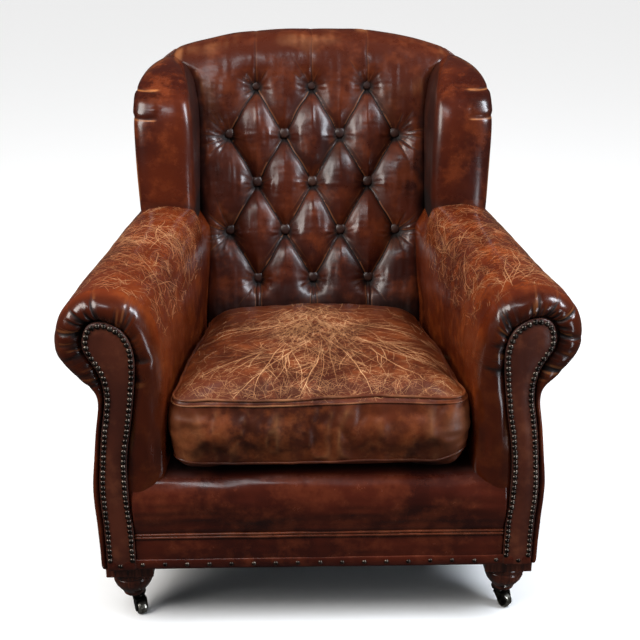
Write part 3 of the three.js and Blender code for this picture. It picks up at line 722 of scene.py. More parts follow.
def arm_grid():
    """The plain arm on the right: its roll round the front, then its length. With the points come each row's
    share of the roll, and how far each point lies behind the roll."""
    outlines = (ARM_SECTION, ARM_REAR_SECTION, ARM_FACING)
    section, fuller, facing = (spline(outline, ARM_COLUMNS) for outline in outlines)
    start = ARM_FRONT_Y + ARM_ROLL
    turn = np.radians(np.linspace(ROLL_TURN, 0, ROLL_ROWS))
    share = (1 - np.cos(turn)) / (1 - math.cos(math.radians(ROLL_TURN)))
    roll = section[None] + (facing - section)[None] * share[:, None, None]
    y_roll = start + (arm_front_y(roll[..., 1]) + 0.8 - start) * np.sin(turn)[:, None]
    reach = np.linspace(0, 1, LENGTH_ROWS + 1)[1:] ** 1.15
    rear = back_y(fuller[:, 1]) - 13
    y_length = start + reach[:, None] * (rear[None] - start)
    y = np.vstack([y_roll, y_length])
    change = np.clip((y_length - start) / (ARM_REAR_Y - start), 0, 1)[..., None]
    xz = np.concatenate([roll, section[None] + (fuller - section)[None] * change])
    grid = np.stack([xz[..., 0] * taper(y), y, xz[..., 1]], -1)
    # Beside the wing the arm keeps behind the wing's inner face.
    held_back = ease(600, 650, grid[..., 2]) * ease(468, 505, y)
    grid[..., 0] += np.maximum(WING_INNER - grid[..., 0], 0) * held_back
    share_all = np.concatenate([share, np.zeros(LENGTH_ROWS)])[:, None]
    return grid, share_all, np.maximum(y - start, 0)


def arm_gathers(rng, grid, place, share_all, behind):
    """The gathers drawn in round the scroll: their depth, and the leather's near and line."""
    deep = np.zeros(grid.shape[:2])
    closest = np.full(grid.shape[:2], FAR)
    line, near = np.full(grid.shape[:2], 0.5), np.zeros(grid.shape[:2])
    for index in np.linspace(*GATHER_SPAN, GATHER_COUNT):
        index = index + rng.uniform(-0.13, 0.13)
        depth = rng.uniform(0.9, 4.2) * (1.25 if 6.4 < index < 8 or 9.3 < index < 11 else 0.8)
        start_in = rng.uniform(0.05, 0.62)
        fade = ease(start_in, start_in + 0.35, share_all)
        fade = fade + 0.30 * np.exp(-behind / rng.uniform(10, 40)) * (start_in < 0.25)
        bend = index + rng.uniform(-0.22, 0.22) * (1 - share_all) + 0.04 * noise_at(grid / 30, 1.0, 4)
        offset = (place[None] - bend) * (34.0 - 14.0 * share_all) * rng.choice([-1, 1])
        deep = np.maximum(deep, depth * fade * crease(offset, 1.3, 3.6))
        mine = np.abs(offset) < closest
        closest = np.where(mine, np.abs(offset), closest)
        line = np.where(mine, 0.5 + np.clip(offset, -8, 8) / 16, line)
        drawn = np.clip(depth * fade / 4.5, 0, 0.9) * ease(8.0, 4.0, np.abs(offset))
        near = np.where(mine, drawn, near)
    return deep, near, line


def arm_cover(side, sign):
    rng = np.random.default_rng(20 + (sign > 0))
    grid, share_all, behind = arm_grid()
    place = np.linspace(0, len(ARM_SECTION) - 1, ARM_COLUMNS)
    normal = normals_of(grid, closed=True)
    middle = grid.mean(axis=(0, 1))
    if np.einsum("ijk,ijk->", normal[80:], grid[80:] - middle) < 0:
        normal = -normal
    scroll = ease(3.6, 5.0, place) * ease(14.5, 12.5, place)
    deep, near, line = arm_gathers(rng, grid, place, share_all, behind)
    lumps = noise_at(grid, 70.0, 8 + (sign > 0))
    drag = noise_at(grid * np.array([0.5, 2.0, 0.6]), 26.0, 9)
    h = -deep + 1.8 * lumps * scroll[None] + 0.6 * drag
    # The roll bulges between the silhouette and the facing, and is pulled in only where it is tacked.
    bulge = np.sin(np.pi * np.clip(share_all, 0, 1) ** 1.25)
    h += (4.5 * scroll[None] + 1.5) * bulge
    tucked = ease(0.93, 1.0, share_all)
    h -= 2.0 * tucked
    grid = grid + normal * h[..., None]

    z = grid[..., 2]
    top = ease(600, 655, z)
    outer = ease(4.0, 7.0, place)[None] * ease(9.0, 7.0, place)[None]
    inner = ease(9.5, 11.0, place)[None] * ease(15.0, 13.0, place)[None]
    back = ease(20, 110, behind)
    rub = noise_at(grid, 80.0, 31)
    ripple = noise_at(grid * np.array([1.6, 1.6, 0.35]), 22.0, 33) * inner * ease(540, 440, z)
    ripple = ripple * ease(0.05, 0.5, share_all + 0.25 * ease(60, 0, behind))
    grid = grid + normal * (2.2 * ripple)[..., None]
    wear = (0.24 * top + 0.14 * outer + 0.16 * inner) * (0.60 + 0.60 * rub) * back
    wear += 0.62 * bell(place[None], 12.6, 0.55) * bell(share_all, 0.86, 0.07)
    crack = top * (0.40 + 0.40 * back) * (0.7 + 0.3 * rub) + 0.20 * inner + 0.12 * outer
    dark_roll = ease(-0.02, 0.22, share_all + 0.06 * rub - 0.004 * behind)
    stain = 0.85 * dark_roll * scroll[None] + 0.30 * dark_roll * (1 - scroll[None])
    # Darker towards the bottom of the arm.
    stain += 0.35 * ease(380, 260, z)
    shade = 0.40 * ease(1.2, 3.4, deep) + 0.5 * tucked
    shade += 0.60 * ease(430, 330, z) * inner * ease(30, 90, behind)
    grid[..., 0] *= sign
    marks = {"wear": wear, "crack": crack, "stain": stain, "shade": shade, "near": near, "line": line}
    piece = ring_mesh(f"arm_cover_{side}", grid, ARM_LEATHER, "worn_leather", marks)
    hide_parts(f"arm_pad_{side}")
    return piece


NAIL_PITCH = 10.2
NAIL_LINE = 5.6  # how far the facing's nails stand in from its edge
LOWEST_NAIL = 148
FACING_ROWS, FACING_COLUMNS = 120, 25


def offset_line(line, distance):
    """An open outline moved sideways, to the left of its own direction."""
    ahead = np.gradient(line, axis=0)
    ahead /= np.linalg.norm(ahead, axis=1)[:, None]
    return line + distance * np.stack([-ahead[:, 1], ahead[:, 0]], axis=1)


def arm_facing(side, sign):
    """The nailed panel on the front of an arm: a keyhole of padded hide."""
    last = len(ARM_FACING) - 1
    outline = spline(ARM_FACING, 400)
    climb = np.linspace(0, last / 2, FACING_ROWS)
    position = np.linspace(0, last, len(outline))
    at = lambda p: np.stack([np.interp(p, position, outline[:, k]) for k in range(2)], axis=-1)
    t = np.linspace(0, 1, FACING_COLUMNS)[None, :, None]
    xz = at(climb)[:, None] * (1 - t) + at(last - climb)[:, None] * t
    edge = np.linalg.norm(xz[:, :, None] - outline[None, None, ::3], axis=-1).min(axis=-1)
    y = arm_front_y(xz[..., 1]) - 6.6 + edge_roll(edge, 5.0) - 1.6 * ease(8, 24, edge)
    y += 0.5 * noise_at(xyz(xz[..., 0], y, xz[..., 1] * 0.4), 16.0, 40)
    face = xyz(sign * xz[..., 0], y, xz[..., 1])
    backing = face[:, [-1, 0]].copy()
    backing[..., 1] = arm_front_y(backing[..., 2]) + 6
    whole = np.concatenate([face, backing], axis=1)
    shade = np.concatenate([0.55 * ease(11, 3, edge), np.ones((FACING_ROWS, 2))], axis=1)
    wear = np.concatenate([0.25 * noise_at(face, 40.0, 41), np.zeros((FACING_ROWS, 2))], axis=1)
    marks = {"shade": shade, "wear": wear, "crack": 0.1 + 0 * wear}
    piece = ring_mesh(f"facing_{side}", whole, FACING_LEATHER, "facing_leather", marks)
    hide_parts(f"arm_facing_{side}")
    nail_line = offset_line(even(outline, 300), NAIL_LINE)
    nail_line = nail_line[nail_line[:, 1] > LOWEST_NAIL]
    length = np.linalg.norm(np.diff(nail_line, axis=0), axis=1).sum()
    nail_line = even(nail_line, round(length / NAIL_PITCH))
    x, z = nail_line.T
    centres = xyz(sign * x, arm_front_y(z) - 6.4, z)
    nails(f"facing_nails_{side}", centres, 4.9)


def nails(name, centres, radius):
    """Domed nail heads, each a little out of line, standing forward of the hide."""
    rng = np.random.default_rng(len(centres))
    dome = [(1, 1.2), (1, 0.2), (0.93, -0.9), (0.72, -2.0), (0.4, -2.8), (0, -3.1)]
    profile = [(radius * share, height) for share, height in dome]
    parts = []
    for centre in centres:
        tilt = rng.normal(0, 0.05, 2)
        axis = (tilt[0], 1, tilt[1])
        shift = np.array([rng.normal(0, 0.3), rng.normal(0, 0.2), rng.normal(0, 0.3)])
        parts.append(lathe(profile, 14, axis, centre + shift))
    verts, faces = joined(parts)
    make_mesh(name, chair_points(verts), faces, BRONZE, "nail_metal")


# ---- Wings ----

# Height, outer face, inner face and front of the wing at each level, in millimetres.
WING_LEVELS = [(600, 352, 245, 472), (675, 357, 243, 468), (770, 361, 242, 474), (840, 364, 244, 486),
               (885, 362, 249, 504), (905, 360, 254, 528), (920, 355, 261, 557), (932, 346, 269, 590),
               (940, 334, 279, 624), (946, 320, 291, 656), (949, 309, 299, 680)]
WING_ROWS = 156
OUTER_COLUMNS, NOSE_COLUMNS, INNER_COLUMNS = 51, 96, 43  # points along each part of a level
WING_NOSE = 34  # depth over which the wing's front rounds over
WING_NARROWING = 16  # how much closer the outer face is at the back
PATCH_LOW, PATCH_HIGH = 859, 904  # the two tucks at the wing's outer front edge


def wing_grid():
    """The plain wing on the right, as closed levels: outer face, rounded nose, inner face."""
    levels = even(spline(WING_LEVELS, 400), WING_ROWS)
    z, outer, inner, front = levels.T
    middle, half = (outer + inner) / 2, (outer - inner) / 2
    rear = np.minimum(back_y(z) - 13, 780 + 0 * z)
    rear = np.where(z > 935, rear - (z - 935) * 3.0, rear)
    nose = np.minimum(WING_NOSE, (rear - front) * 0.45)
    turn = np.radians(np.linspace(0, 180, NOSE_COLUMNS))
    power = 2 / 3.2
    cx = np.sign(np.cos(turn)) * np.abs(np.cos(turn)) ** power
    sy = np.abs(np.sin(turn)) ** power
    t_out, t_in = np.linspace(0, 1, OUTER_COLUMNS + 1)[:-1], np.linspace(0, 1, INNER_COLUMNS + 1)[1:]
    lines = []
    for k in range(WING_ROWS):
        start = front[k] + nose[k]
        out_y = rear[k] + (start - rear[k]) * t_out
        out_x = outer[k] - WING_NARROWING * ((out_y - start) / max(rear[k] - start, 1)) ** 1.5
        nose_x, nose_y = middle[k] + half[k] * cx, front[k] + nose[k] * (1 - sy)
        in_y = start + (rear[k] - start) * t_in
        in_x = np.full(len(t_in), inner[k])
        level_x = np.concatenate([out_x, nose_x, in_x])
        level_y = np.concatenate([out_y, nose_y, in_y])
        lines.append(np.stack([level_x, level_y], -1))
    xy = np.array(lines)
    return np.concatenate([xy, np.broadcast_to(z[:, None, None], xy.shape[:2] + (1,))], axis=-1)


def wing_cover(side, sign):
    grid = wing_grid()
    normal = normals_of(grid, closed=True)
    if np.einsum("ijk,ijk->", normal[:120], grid[:120] - grid.mean(axis=(0, 1))) < 0:
        normal = -normal
    # How far round from the outer silhouette, along the nose.
    step = np.linalg.norm(np.diff(grid, axis=1), axis=-1)
    round_ = np.concatenate([np.zeros((WING_ROWS, 1)), np.cumsum(step, axis=1)], axis=1)
    round_ -= round_[:, [OUTER_COLUMNS]]
    Z = grid[..., 2] + 2.0 * noise_at(grid, 30.0, 50)
    on_patch = ease(-46, -34, round_) * ease(78, 62, round_)
    bow = np.sin(np.clip(round_ / 60, 0, 1) * np.pi)
    tucks = crease(Z - PATCH_HIGH - 5 * bow, 1.2, 2.6) + crease(PATCH_LOW - Z - 4 * bow, 1.2, 2.6)
    inside = ease(PATCH_LOW - 2, PATCH_LOW + 8, Z) * ease(PATCH_HIGH + 3, PATCH_HIGH - 7, Z)
    inside = inside * on_patch
    end = bell(round_, 68, 9.0) * ease(PATCH_LOW, PATCH_LOW + 12, Z)
    end = end * ease(PATCH_HIGH, PATCH_HIGH - 12, Z)
    pucker = noise_at(xyz(round_ * 0.5, Z * 2.6, 0), 11.0, 51)
    lumps = noise_at(grid, 75.0, 52 + (sign > 0))
    h = 1.6 * lumps + 2.4 * inside - 1.9 * tucks * on_patch + (0.8 * end + 0.20 * inside) * pucker
    grid = grid + normal * h[..., None]

    wear = 0.20 * inside * (0.8 + 0.4 * pucker) + 0.16 * ease(0.1, 0.8, lumps)
    wear += 0.8 * (bell(Z, PATCH_HIGH + 3, 2.2) + bell(Z, PATCH_LOW - 4, 2.2)) * on_patch
    edge_rub = bell(round_, 14, 9.0) * ease(672, 700, Z) * ease(830, 760, Z)
    wear += 0.75 * edge_rub + 0.35 * bell(round_, 20, 20.0) * ease(915, 935, Z)
    shade = 0.7 * ease(120, 165, round_) + 0.55 * tucks * on_patch
    shade += 0.5 * ease(700, 668, Z) * ease(0, 60, round_)
    grid[..., 0] *= sign
    stain = 0.4 * inside + (0.22 if sign > 0 else 0.0)  # painted shade: the right wing is painted darker than the left
    marks = {"wear": wear, "shade": shade, "crack": 0.1 + 0 * wear, "stain": stain}
    piece = ring_mesh(f"wing_cover_{side}", grid, WING_LEATHER, "leather", marks)
    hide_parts(f"wing_pad_{side}")


# ---- Front of the seat ----

LIP_PATH = [(20, 199), (2, 199), (-5, 222), (-11, 250), (-10, 276), (-1, 298), (18, 314), (45, 321),
            (112, 323)]
BORDER_PATH = [(20, 197), (3, 197), (-2, 188), (-3.5, 165), (-2, 140), (1, 130.5), (22, 130.5)]
BOTTOM_STRIP = [(-0.4, 150.5), (-3.4, 149.5), (-4.6, 146), (-4.8, 138), (-4.2, 131), (-1.0, 129.3),
                (4, 129.3)]
FRONT_HALF = 335
BOTTOM_HALF = 387
BOTTOM_NAIL_PITCH, BOTTOM_NAIL_Z = 40.5, 139.6


def strip(name, path, rows, columns, half, rough, marks, seed=60, ends=None):
    """A padded band across the chair: an outline of (y, z) carried from side to side and closed behind.
    ends is (x, distance): beyond x the band stands that much further forward."""
    outline = even(spline(path, 300), rows)
    x = np.linspace(-half, half, columns)
    grid = xyz(x[:, None], outline[:, 0], outline[:, 1])
    if ends:
        grid[..., 1] -= ends[1] * ease(ends[0] - 3, ends[0] + 3, np.abs(grid[..., 0]))
    normal = normals_of(grid)
    if normal[columns // 2, rows // 2, 1] > 0:
        normal = -normal
    lumps = noise_at(grid * np.array([1.0, 1.5, 1.5]), 60.0, seed)
    drag = noise_at(grid * np.array([0.25, 2.0, 2.2]), 18.0, seed + 1)
    way = np.linspace(0, 1, rows)
    hold = ease(0, 0.12, way) * ease(1, 0.88, way)
    grid = grid + normal * ((rough * lumps + 0.35 * rough * drag) * hold)[..., None]
    piece = ring_mesh(name, grid, DARK_LEATHER, "leather", marks(grid, lumps, drag))
    return piece


def seat_front():
    def lip_marks(grid, lumps, _drag):
        y, z = grid[..., 1], grid[..., 2]
        shade = 0.9 * ease(8, 34, y) * ease(300, 312, z) + 0.6 * ease(215, 200, z)
        # Tan on the lip's nose: rubbed hide, and partly a painted highlight.
        wear = 0.30 * bell(z, 268, 16.0) * (0.5 + 0.5 * lumps)
        return {"shade": shade, "wear": wear, "crack": 0.16 + 0 * z}

    lip = strip("seat_lip_cover", LIP_PATH, 70, 220, FRONT_HALF, rough=2.0, marks=lip_marks)
    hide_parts("seat_lip")

    def border_marks(grid, _lumps, drag):
        z = grid[..., 2]
        shade = 0.45 * ease(150, 138, z) + 0.5 * ease(190, 198, z)
        return {"shade": shade, "wear": 0.22 * ease(0.1, 0.8, drag), "crack": 0.12 + 0 * z}

    border = strip("border_cover", BORDER_PATH, 46, 240, FRONT_HALF, rough=1.1, marks=border_marks, seed=64)
    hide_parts("front_border")

    def edge_marks(grid, _lumps, _drag):
        z = grid[..., 2]
        return {"wear": 0.30 * ease(147, 150, z), "shade": 0.35 * ease(144, 132, z)}

    strip("bottom_strip", BOTTOM_STRIP, 26, 340, BOTTOM_HALF, rough=0.5, seed=68, marks=edge_marks,
          ends=(FRONT_HALF + 4, 3.4))
    x = np.linspace(-FRONT_HALF, FRONT_HALF, 160)
    for name, z, y in (("upper_welt", 201.2, -1.6), ("lower_welt", 195.6, -2.2)):
        line = xyz(x, y, z + 0.5 * noise_at(xyz(x, 0, z), 40.0, 66))
        verts, faces = tube(chair_points(line), 2.7 * MM, sides=12)
        make_mesh(name, verts, faces, DARK_LEATHER, "leather", marks={"wear": 0.35 + 0 * verts[:, 0]})
    centres = np.arange(-9, 10) * BOTTOM_NAIL_PITCH
    forward = np.where(np.abs(centres) > FRONT_HALF, 8.0, 4.6)
    nails("bottom_nails", xyz(centres, -forward, BOTTOM_NAIL_Z), 4.4)


# ---- Seat cushion ----

CUSHION_FRONT, CUSHION_REAR = -12, 505
CUSHION_HALF_FRONT, CUSHION_HALF_REAR = 269, 227
CUSHION_CORNER = 34
CUSHION_VOXEL, CUSHION_PRESSURE, CUSHION_SWELL = 0.0062, 4.0, 0.010
PIPING_TOP, PIPING_BOTTOM = 463, 347
PIPING_SIDES = 12
ABOVE_CUSHION = 600  # a height from which cracks are dropped onto it


def cushion_plan(inset, count=200):
    """The cushion's outline from above, pulled in by a distance, with rounded corners and soft sides."""
    corner = CUSHION_CORNER
    points = []
    corners = ((CUSHION_HALF_FRONT, CUSHION_FRONT, -90), (CUSHION_HALF_REAR, CUSHION_REAR, 0),
               (-CUSHION_HALF_REAR, CUSHION_REAR, 90), (-CUSHION_HALF_FRONT, CUSHION_FRONT, 180))
    for x, y, start in corners:
        cx, cy = x - math.copysign(corner, x), y + (corner if y < 0 else -corner)
        radius = max(corner - inset, 2)
        for degrees in np.linspace(0, 90, 12):
            turn = math.radians(start + degrees)
            points.append((cx + radius * math.cos(turn), cy + radius * math.sin(turn)))
    return even(points, count, closed=True)


def cushion_body():
    """The crowned form: belly, boxing and domed top, as rings from the bottom to the top."""
    levels = [(150, 329), (90, 327.5), (40, 328), (14, 332), (4, 339), (1, PIPING_BOTTOM), (-2, 372),
              (-4, 405), (-2, 438), (1, PIPING_TOP), (9, 469), (30, 475), (62, 480), (110, 485), (170, 488)]
    rings = []
    for inset, z in levels:
        ring = cushion_plan(min(inset, 30))
        if inset > 30:
            centre = np.array([0, (CUSHION_FRONT + CUSHION_REAR) / 2])
            ring = centre + (ring - centre) * (1 - (inset - 30) / 250)
        rings.append(np.column_stack([ring, np.full(len(ring), z)]))
    return np.array(rings)


def simulate(piece, voxel, pressure, cap):
    """Remeshes a pad evenly and lets its cover swell under pressure. No point moves further than cap."""
    remesh = piece.modifiers.new("even", "REMESH")
    remesh.mode = "VOXEL"
    remesh.voxel_size = voxel
    apply_modifiers(piece)
    start = positions(piece.data)
    cloth = piece.modifiers.new("cloth", "CLOTH")
    cloth.settings.use_pressure = True
    cloth.settings.uniform_pressure_force = pressure
    cloth.settings.tension_stiffness = cloth.settings.compression_stiffness = 12
    cloth.settings.effector_weights.gravity = 0
    cloth.point_cache.frame_start, cloth.point_cache.frame_end = 1, 20
    for step in range(1, 21):
        bpy.context.scene.frame_set(step)
    apply_modifiers(piece)
    moved = positions(piece.data) - start
    far = np.linalg.norm(moved, axis=1, keepdims=True)
    start = start + moved * np.minimum(1, cap / np.maximum(far, 1e-9))
    bpy.context.scene.frame_set(1)
    return start


def apply_modifiers(piece):
    evaluated = piece.evaluated_get(bpy.context.evaluated_depsgraph_get())
    mesh = bpy.data.meshes.new_from_object(evaluated)
    piece.modifiers.clear()
    piece.data = mesh


def cushion_droop(x, y):
    """How far the top seam hangs towards the rear, and the bottom seam lifts at the front corners."""
    top = 10 * ease(140, 500, y) + 26 * (x / 240) ** 2 * ease(180, 460, y)
    top = top + 7 * ease(465, 505, y)
    bottom = (11 + 5 * np.sign(x)) * ease(228, 268, np.abs(x)) * ease(120, 20, y)
    return top, bottom


def seat_cushion():
    piece = ring_mesh("cushion", cushion_body(), SEAT_LEATHER, "worn_leather")
    mm = simulate(piece, CUSHION_VOXEL, CUSHION_PRESSURE, CUSHION_SWELL) / MM - np.array([0, FRONT / MM, 0])
    x, y, z = mm.T.copy()
    side = ease(475, 440, z) * ease(335, 350, z)
    top = ease(462, 474, z)
    ends = ease(170, 240, np.abs(x)) * ease(60, 10, y)
    n = mm - np.array([0, 245, 400])
    n /= np.linalg.norm(n, axis=1, keepdims=True)
    bent = 14 * noise_at(mm, 50.0, 78)[:, None]
    upright = noise_at(mm * np.array([1.7, 1.7, 0.45]) + bent, 24.0, 70)
    level = noise_at(mm * np.array([0.5, 0.5, 2.2]), 22.0, 76)
    pulled = np.cos(x / 7.3 + 2.0 * noise_at(mm, 60.0, 77)) * ease(425, 455, z) * side
    bulge = noise_at(mm, 80.0, 71)
    crest = noise_at(mm * np.array([1.25, 1.25, 0.42]) + 20 * bulge[:, None], 34.0, 79)
    ridge = np.clip(1 - 2.4 * np.abs(crest), 0, 1)
    shape = (3.2 * upright + 4.5 * ridge ** 2) * (1 - ends) + 2.8 * level * ends + 0.9 * pulled
    shape = shape * side + 1.8 * bulge
    mm = mm + n * shape[:, None]
    # The filling has shifted: the middle has sunk a little, the rear hangs, and the front corners lift.
    sunk = bell(x, 0, 150) * bell(y, 170, 140)
    droop, lift = cushion_droop(x, y)
    mm[:, 2] -= 4.0 * sunk * top + droop * ease(400, 460, z) - lift * ease(420, 350, z)
    piece.data.vertices.foreach_set("co", chair_points(mm).astype(np.float32).ravel())
    piece.data.materials.clear()
    piece.data.materials.append(SEAT_LEATHER)

    centre_back = bell(x, -5, 85) * bell(y, 290, 120)
    front_band = ease(95, -5, y) * top
    rub = noise_at(mm, 60.0, 72)
    crack = top * (0.40 + 0.60 * centre_back + 0.45 * front_band) + 0.30 * side
    wear = top * (0.16 * centre_back + 0.40 * front_band * (0.6 + 0.4 * rub) + 0.03)
    rubbed = 0.12 * ease(0.1, 0.7, upright) + 0.34 * ridge ** 3
    wear += side * (rubbed * (1 - ends) + 0.24 * ends + 0.12)
    # Darker on the lower boxing, over the rear of the top and towards the arms at the rear.
    stain = 0.30 * ease(375, 330, z) * (y < 400) + 0.55 * top * ease(330, 470, y)
    stain += 0.50 * ease(150, 250, np.abs(x)) * top * ease(60, 260, y)
    shade = 0.14 * ease(-0.1, -0.8, upright) * side * (1 - ends) + 0.35 * ease(343, 330, z)
    set_marks(piece.data, {"crack": crack, "wear": wear, "stain": stain, "shade": shade})
    piece.data.polygons.foreach_set("use_smooth", [True] * len(piece.data.polygons))
    subdivide = piece.modifiers.new("fine", "SUBSURF")
    subdivide.levels = subdivide.render_levels = 1
    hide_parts("seat_cushion")
    tree = BVHTree.FromObject(piece, bpy.context.evaluated_depsgraph_get())
    cushion_piping(tree)

    def land(p):
        return tree.ray_cast(Vector(chair_points([p[0], p[1], ABOVE_CUSHION])), Vector((0, 0, -1)))

    ribbons("cushion_cracks", cushion_strokes(), land)


def cushion_piping(tree):
    """Piping laid on the finished cover, with a flat seam line under the top one."""
    plan = cushion_plan(-14, 320)
    at_front = ease(120, 20, plan[:, 1])
    for name, at_top, z, radius, out in (("piping_top", 1, PIPING_TOP + 2, 2.6, 1.3),
                                         ("piping_seam", 1, PIPING_TOP - 5.5, 1.8, 0.5),
                                         ("piping_bottom", 0, PIPING_BOTTOM, 2.6, 0.8)):
        line = []
        for i, (px, py) in enumerate(plan):
            droop, lift = cushion_droop(px, py)
            wave = 1.6 * math.sin(i * 0.11) + 1.2 * math.sin(i * 0.043 + 1)
            level = z + wave - (droop if at_top else -lift)
            aim = Vector(chair_points([px, py, level]))
            centre = Vector(chair_points([px * 0.5, 245 + (py - 245) * 0.5, level]))
            hit, normal, _index, _distance = tree.ray_cast(aim, (centre - aim).normalized())
            if hit is None:
                hit, normal, _index, _distance = tree.find_nearest(aim)
            line.append(np.array(hit + normal * out * MM))
        line = np.array(line)
        for _ in range(3):
            line = (np.roll(line, 1, 0) + 2 * line + np.roll(line, -1, 0)) / 4
        verts, faces = tube(line, radius * MM, closed=True, sides=PIPING_SIDES)
        front = np.repeat(at_front, PIPING_SIDES)
        wear = (0.40 if at_top else 0.10) * front + 0.35 * noise_at(verts, 0.03, 75)
        # Painted shade: the bottom piping and the piping along the sides and rear are darkened.
        stain = (0.1 if at_top else 0.7) + 0.7 * (1 - front)
        marks = {"wear": wear, "crack": 0.3 + 0 * wear, "stain": stain}
        make_mesh(name, verts, faces, SEAT_LEATHER, "worn_leather", marks=marks)


# ---- Cracks in the finish ----

STROKE_STEP = 4.0
CRACK_JUMP = 0.02  # a stroke that leaps further than this has crossed a gap in its cover
CRACK_PROUD, CRACK_DEEP = 0.00022, 0.0004  # how far a sliver stands out of the hide, and reaches into it


def stroke(rng, start, heading, length, width, bend=0.16, branches=0.0):
    """A crack that wanders from a start along a heading in degrees, with side cracks. Sizes are in mm."""
    step = STROKE_STEP
    count = max(3, int(length / step))
    points, turn = [np.array(start, float)], math.radians(heading)
    drift = rng.normal(0, bend * 0.35)
    strokes = []
    for i in range(count):
        turn += rng.normal(drift * 0.5, bend)
        points.append(points[-1] + step * np.array([math.cos(turn), math.sin(turn)]))
        if rng.random() < branches * step / 100:
            aside = math.degrees(turn) + rng.choice([-1, 1]) * rng.uniform(22, 50)
            rest = (count - i) * step * rng.uniform(0.25, 0.7)
            strokes += stroke(rng, points[-1], aside, rest, width * 0.7, bend, branches * 0.4)
    return [(np.array(points), width)] + strokes


def cushion_strokes():
    """Fine cracks matted behind the middle, long ones running out from there, and a crazed front edge."""
    rng = np.random.default_rng(12)
    strokes = []
    for _ in range(300):
        start = (rng.normal(-8, 42), rng.normal(300, 62))
        heading = rng.choice([-90, -58, -122]) + rng.normal(0, 20)
        strokes += stroke(rng, start, heading, rng.uniform(18, 80), rng.uniform(0.30, 0.90), 0.08, 0.9)
    for _ in range(56):
        start = np.array([rng.normal(-8, 44), rng.normal(265, 60)])
        heading = math.degrees(math.atan2(start[1] - 350, start[0] * 1.6 + 8)) + rng.normal(0, 20)
        strokes += stroke(rng, start, heading, rng.uniform(60, 190), rng.uniform(0.30, 0.75), 0.07, 1.2)
    for x, y, heading, length in CUSHION_LONG_CRACKS:
        strokes += stroke(rng, (x, y), heading, length, 1.7, 0.05, 2.6)
        strokes += stroke(rng, (x + 4, y), heading + 3, length * 0.8, 1.0, 0.07, 1.5)
    for _ in range(330):
        start = (rng.uniform(-245, 245), abs(rng.normal(0, 66)) - 8)
        heading = rng.choice([40, 90, 140, 10]) + rng.normal(0, 18)
        strokes += stroke(rng, start, heading, rng.uniform(10, 55), rng.uniform(0.20, 0.55), 0.12, 2.0)
    for _ in range(170):
        start = (rng.uniform(-225, 225), rng.uniform(60, 400))
        heading = rng.uniform(0, 360)
        strokes += stroke(rng, start, heading, rng.uniform(14, 60), rng.uniform(0.16, 0.38), 0.12, 1.0)

    def inside(p):
        x, y = p.T
        return (np.abs(x) < 250 - 0.08 * y) & (y > 0) & (y < 455)

    return kept(strokes, inside)


# The long cracks that cross the cushion: where each starts, its heading in degrees and its length.
CUSHION_LONG_CRACKS = [(-15, 205, -128, 250), (-60, 190, -112, 190), (20, 215, -72, 230),
                       (70, 225, -58, 260), (95, 170, -80, 150), (60, 300, -25, 190), (-70, 290, -160, 170),
                       (110, 210, -45, 190), (-100, 150, -140, 150), (5, 160, -100, 170)]


def kept(strokes, inside):
    """The strokes' stretches that lie inside a region."""
    return [(points[inside(points)], width) for points, width in strokes if inside(points).sum() > 2]


def arm_strokes(seed):
    """Cracks over the top of an arm, as (distance round from the inner side, distance back)."""
    rng = np.random.default_rng(seed)
    strokes = []
    for _ in range(330):
        start = (rng.normal(145, 56), rng.uniform(8, 480))
        heading = rng.choice([15, 60, 100, 145]) + rng.normal(0, 18)
        strokes += stroke(rng, start, heading, rng.uniform(8, 36), rng.uniform(0.22, 0.50), 0.06, 3.0)
    for _ in range(15):
        start = (rng.uniform(60, 150), rng.uniform(20, 330))
        heading = rng.normal(70, 35)
        strokes += stroke(rng, start, heading, rng.uniform(60, 170), rng.uniform(0.60, 1.05), 0.07, 3.0)
    for _ in range(90):
        start = (rng.uniform(15, 110), rng.uniform(30, 380))
        heading = rng.normal(90, 45)
        strokes += stroke(rng, start, heading, rng.uniform(12, 50), rng.uniform(0.16, 0.36), 0.06, 1.2)

    def inside(p):
        around, back = p.T
        return (back > 2) & (back < 480) & (around > 5) & (around < 250)

    return kept(strokes, inside)


def arm_cracks(side, sign, cover):
    tree = BVHTree.FromObject(cover, bpy.context.evaluated_depsgraph_get())

    def land(p):
        turn = p[0] / 98.0  # round the padded roll, from its inner side over the top
        middle = np.array([sign * 352 * taper(p[1]), p[1], 560])
        away = np.array([-sign * math.cos(turn), 0, math.sin(turn)])
        return tree.ray_cast(Vector(chair_points(middle + away * 200)), Vector(-away))

    ribbons(f"arm_cracks_{side}", arm_strokes(5 + (sign > 0)), land)


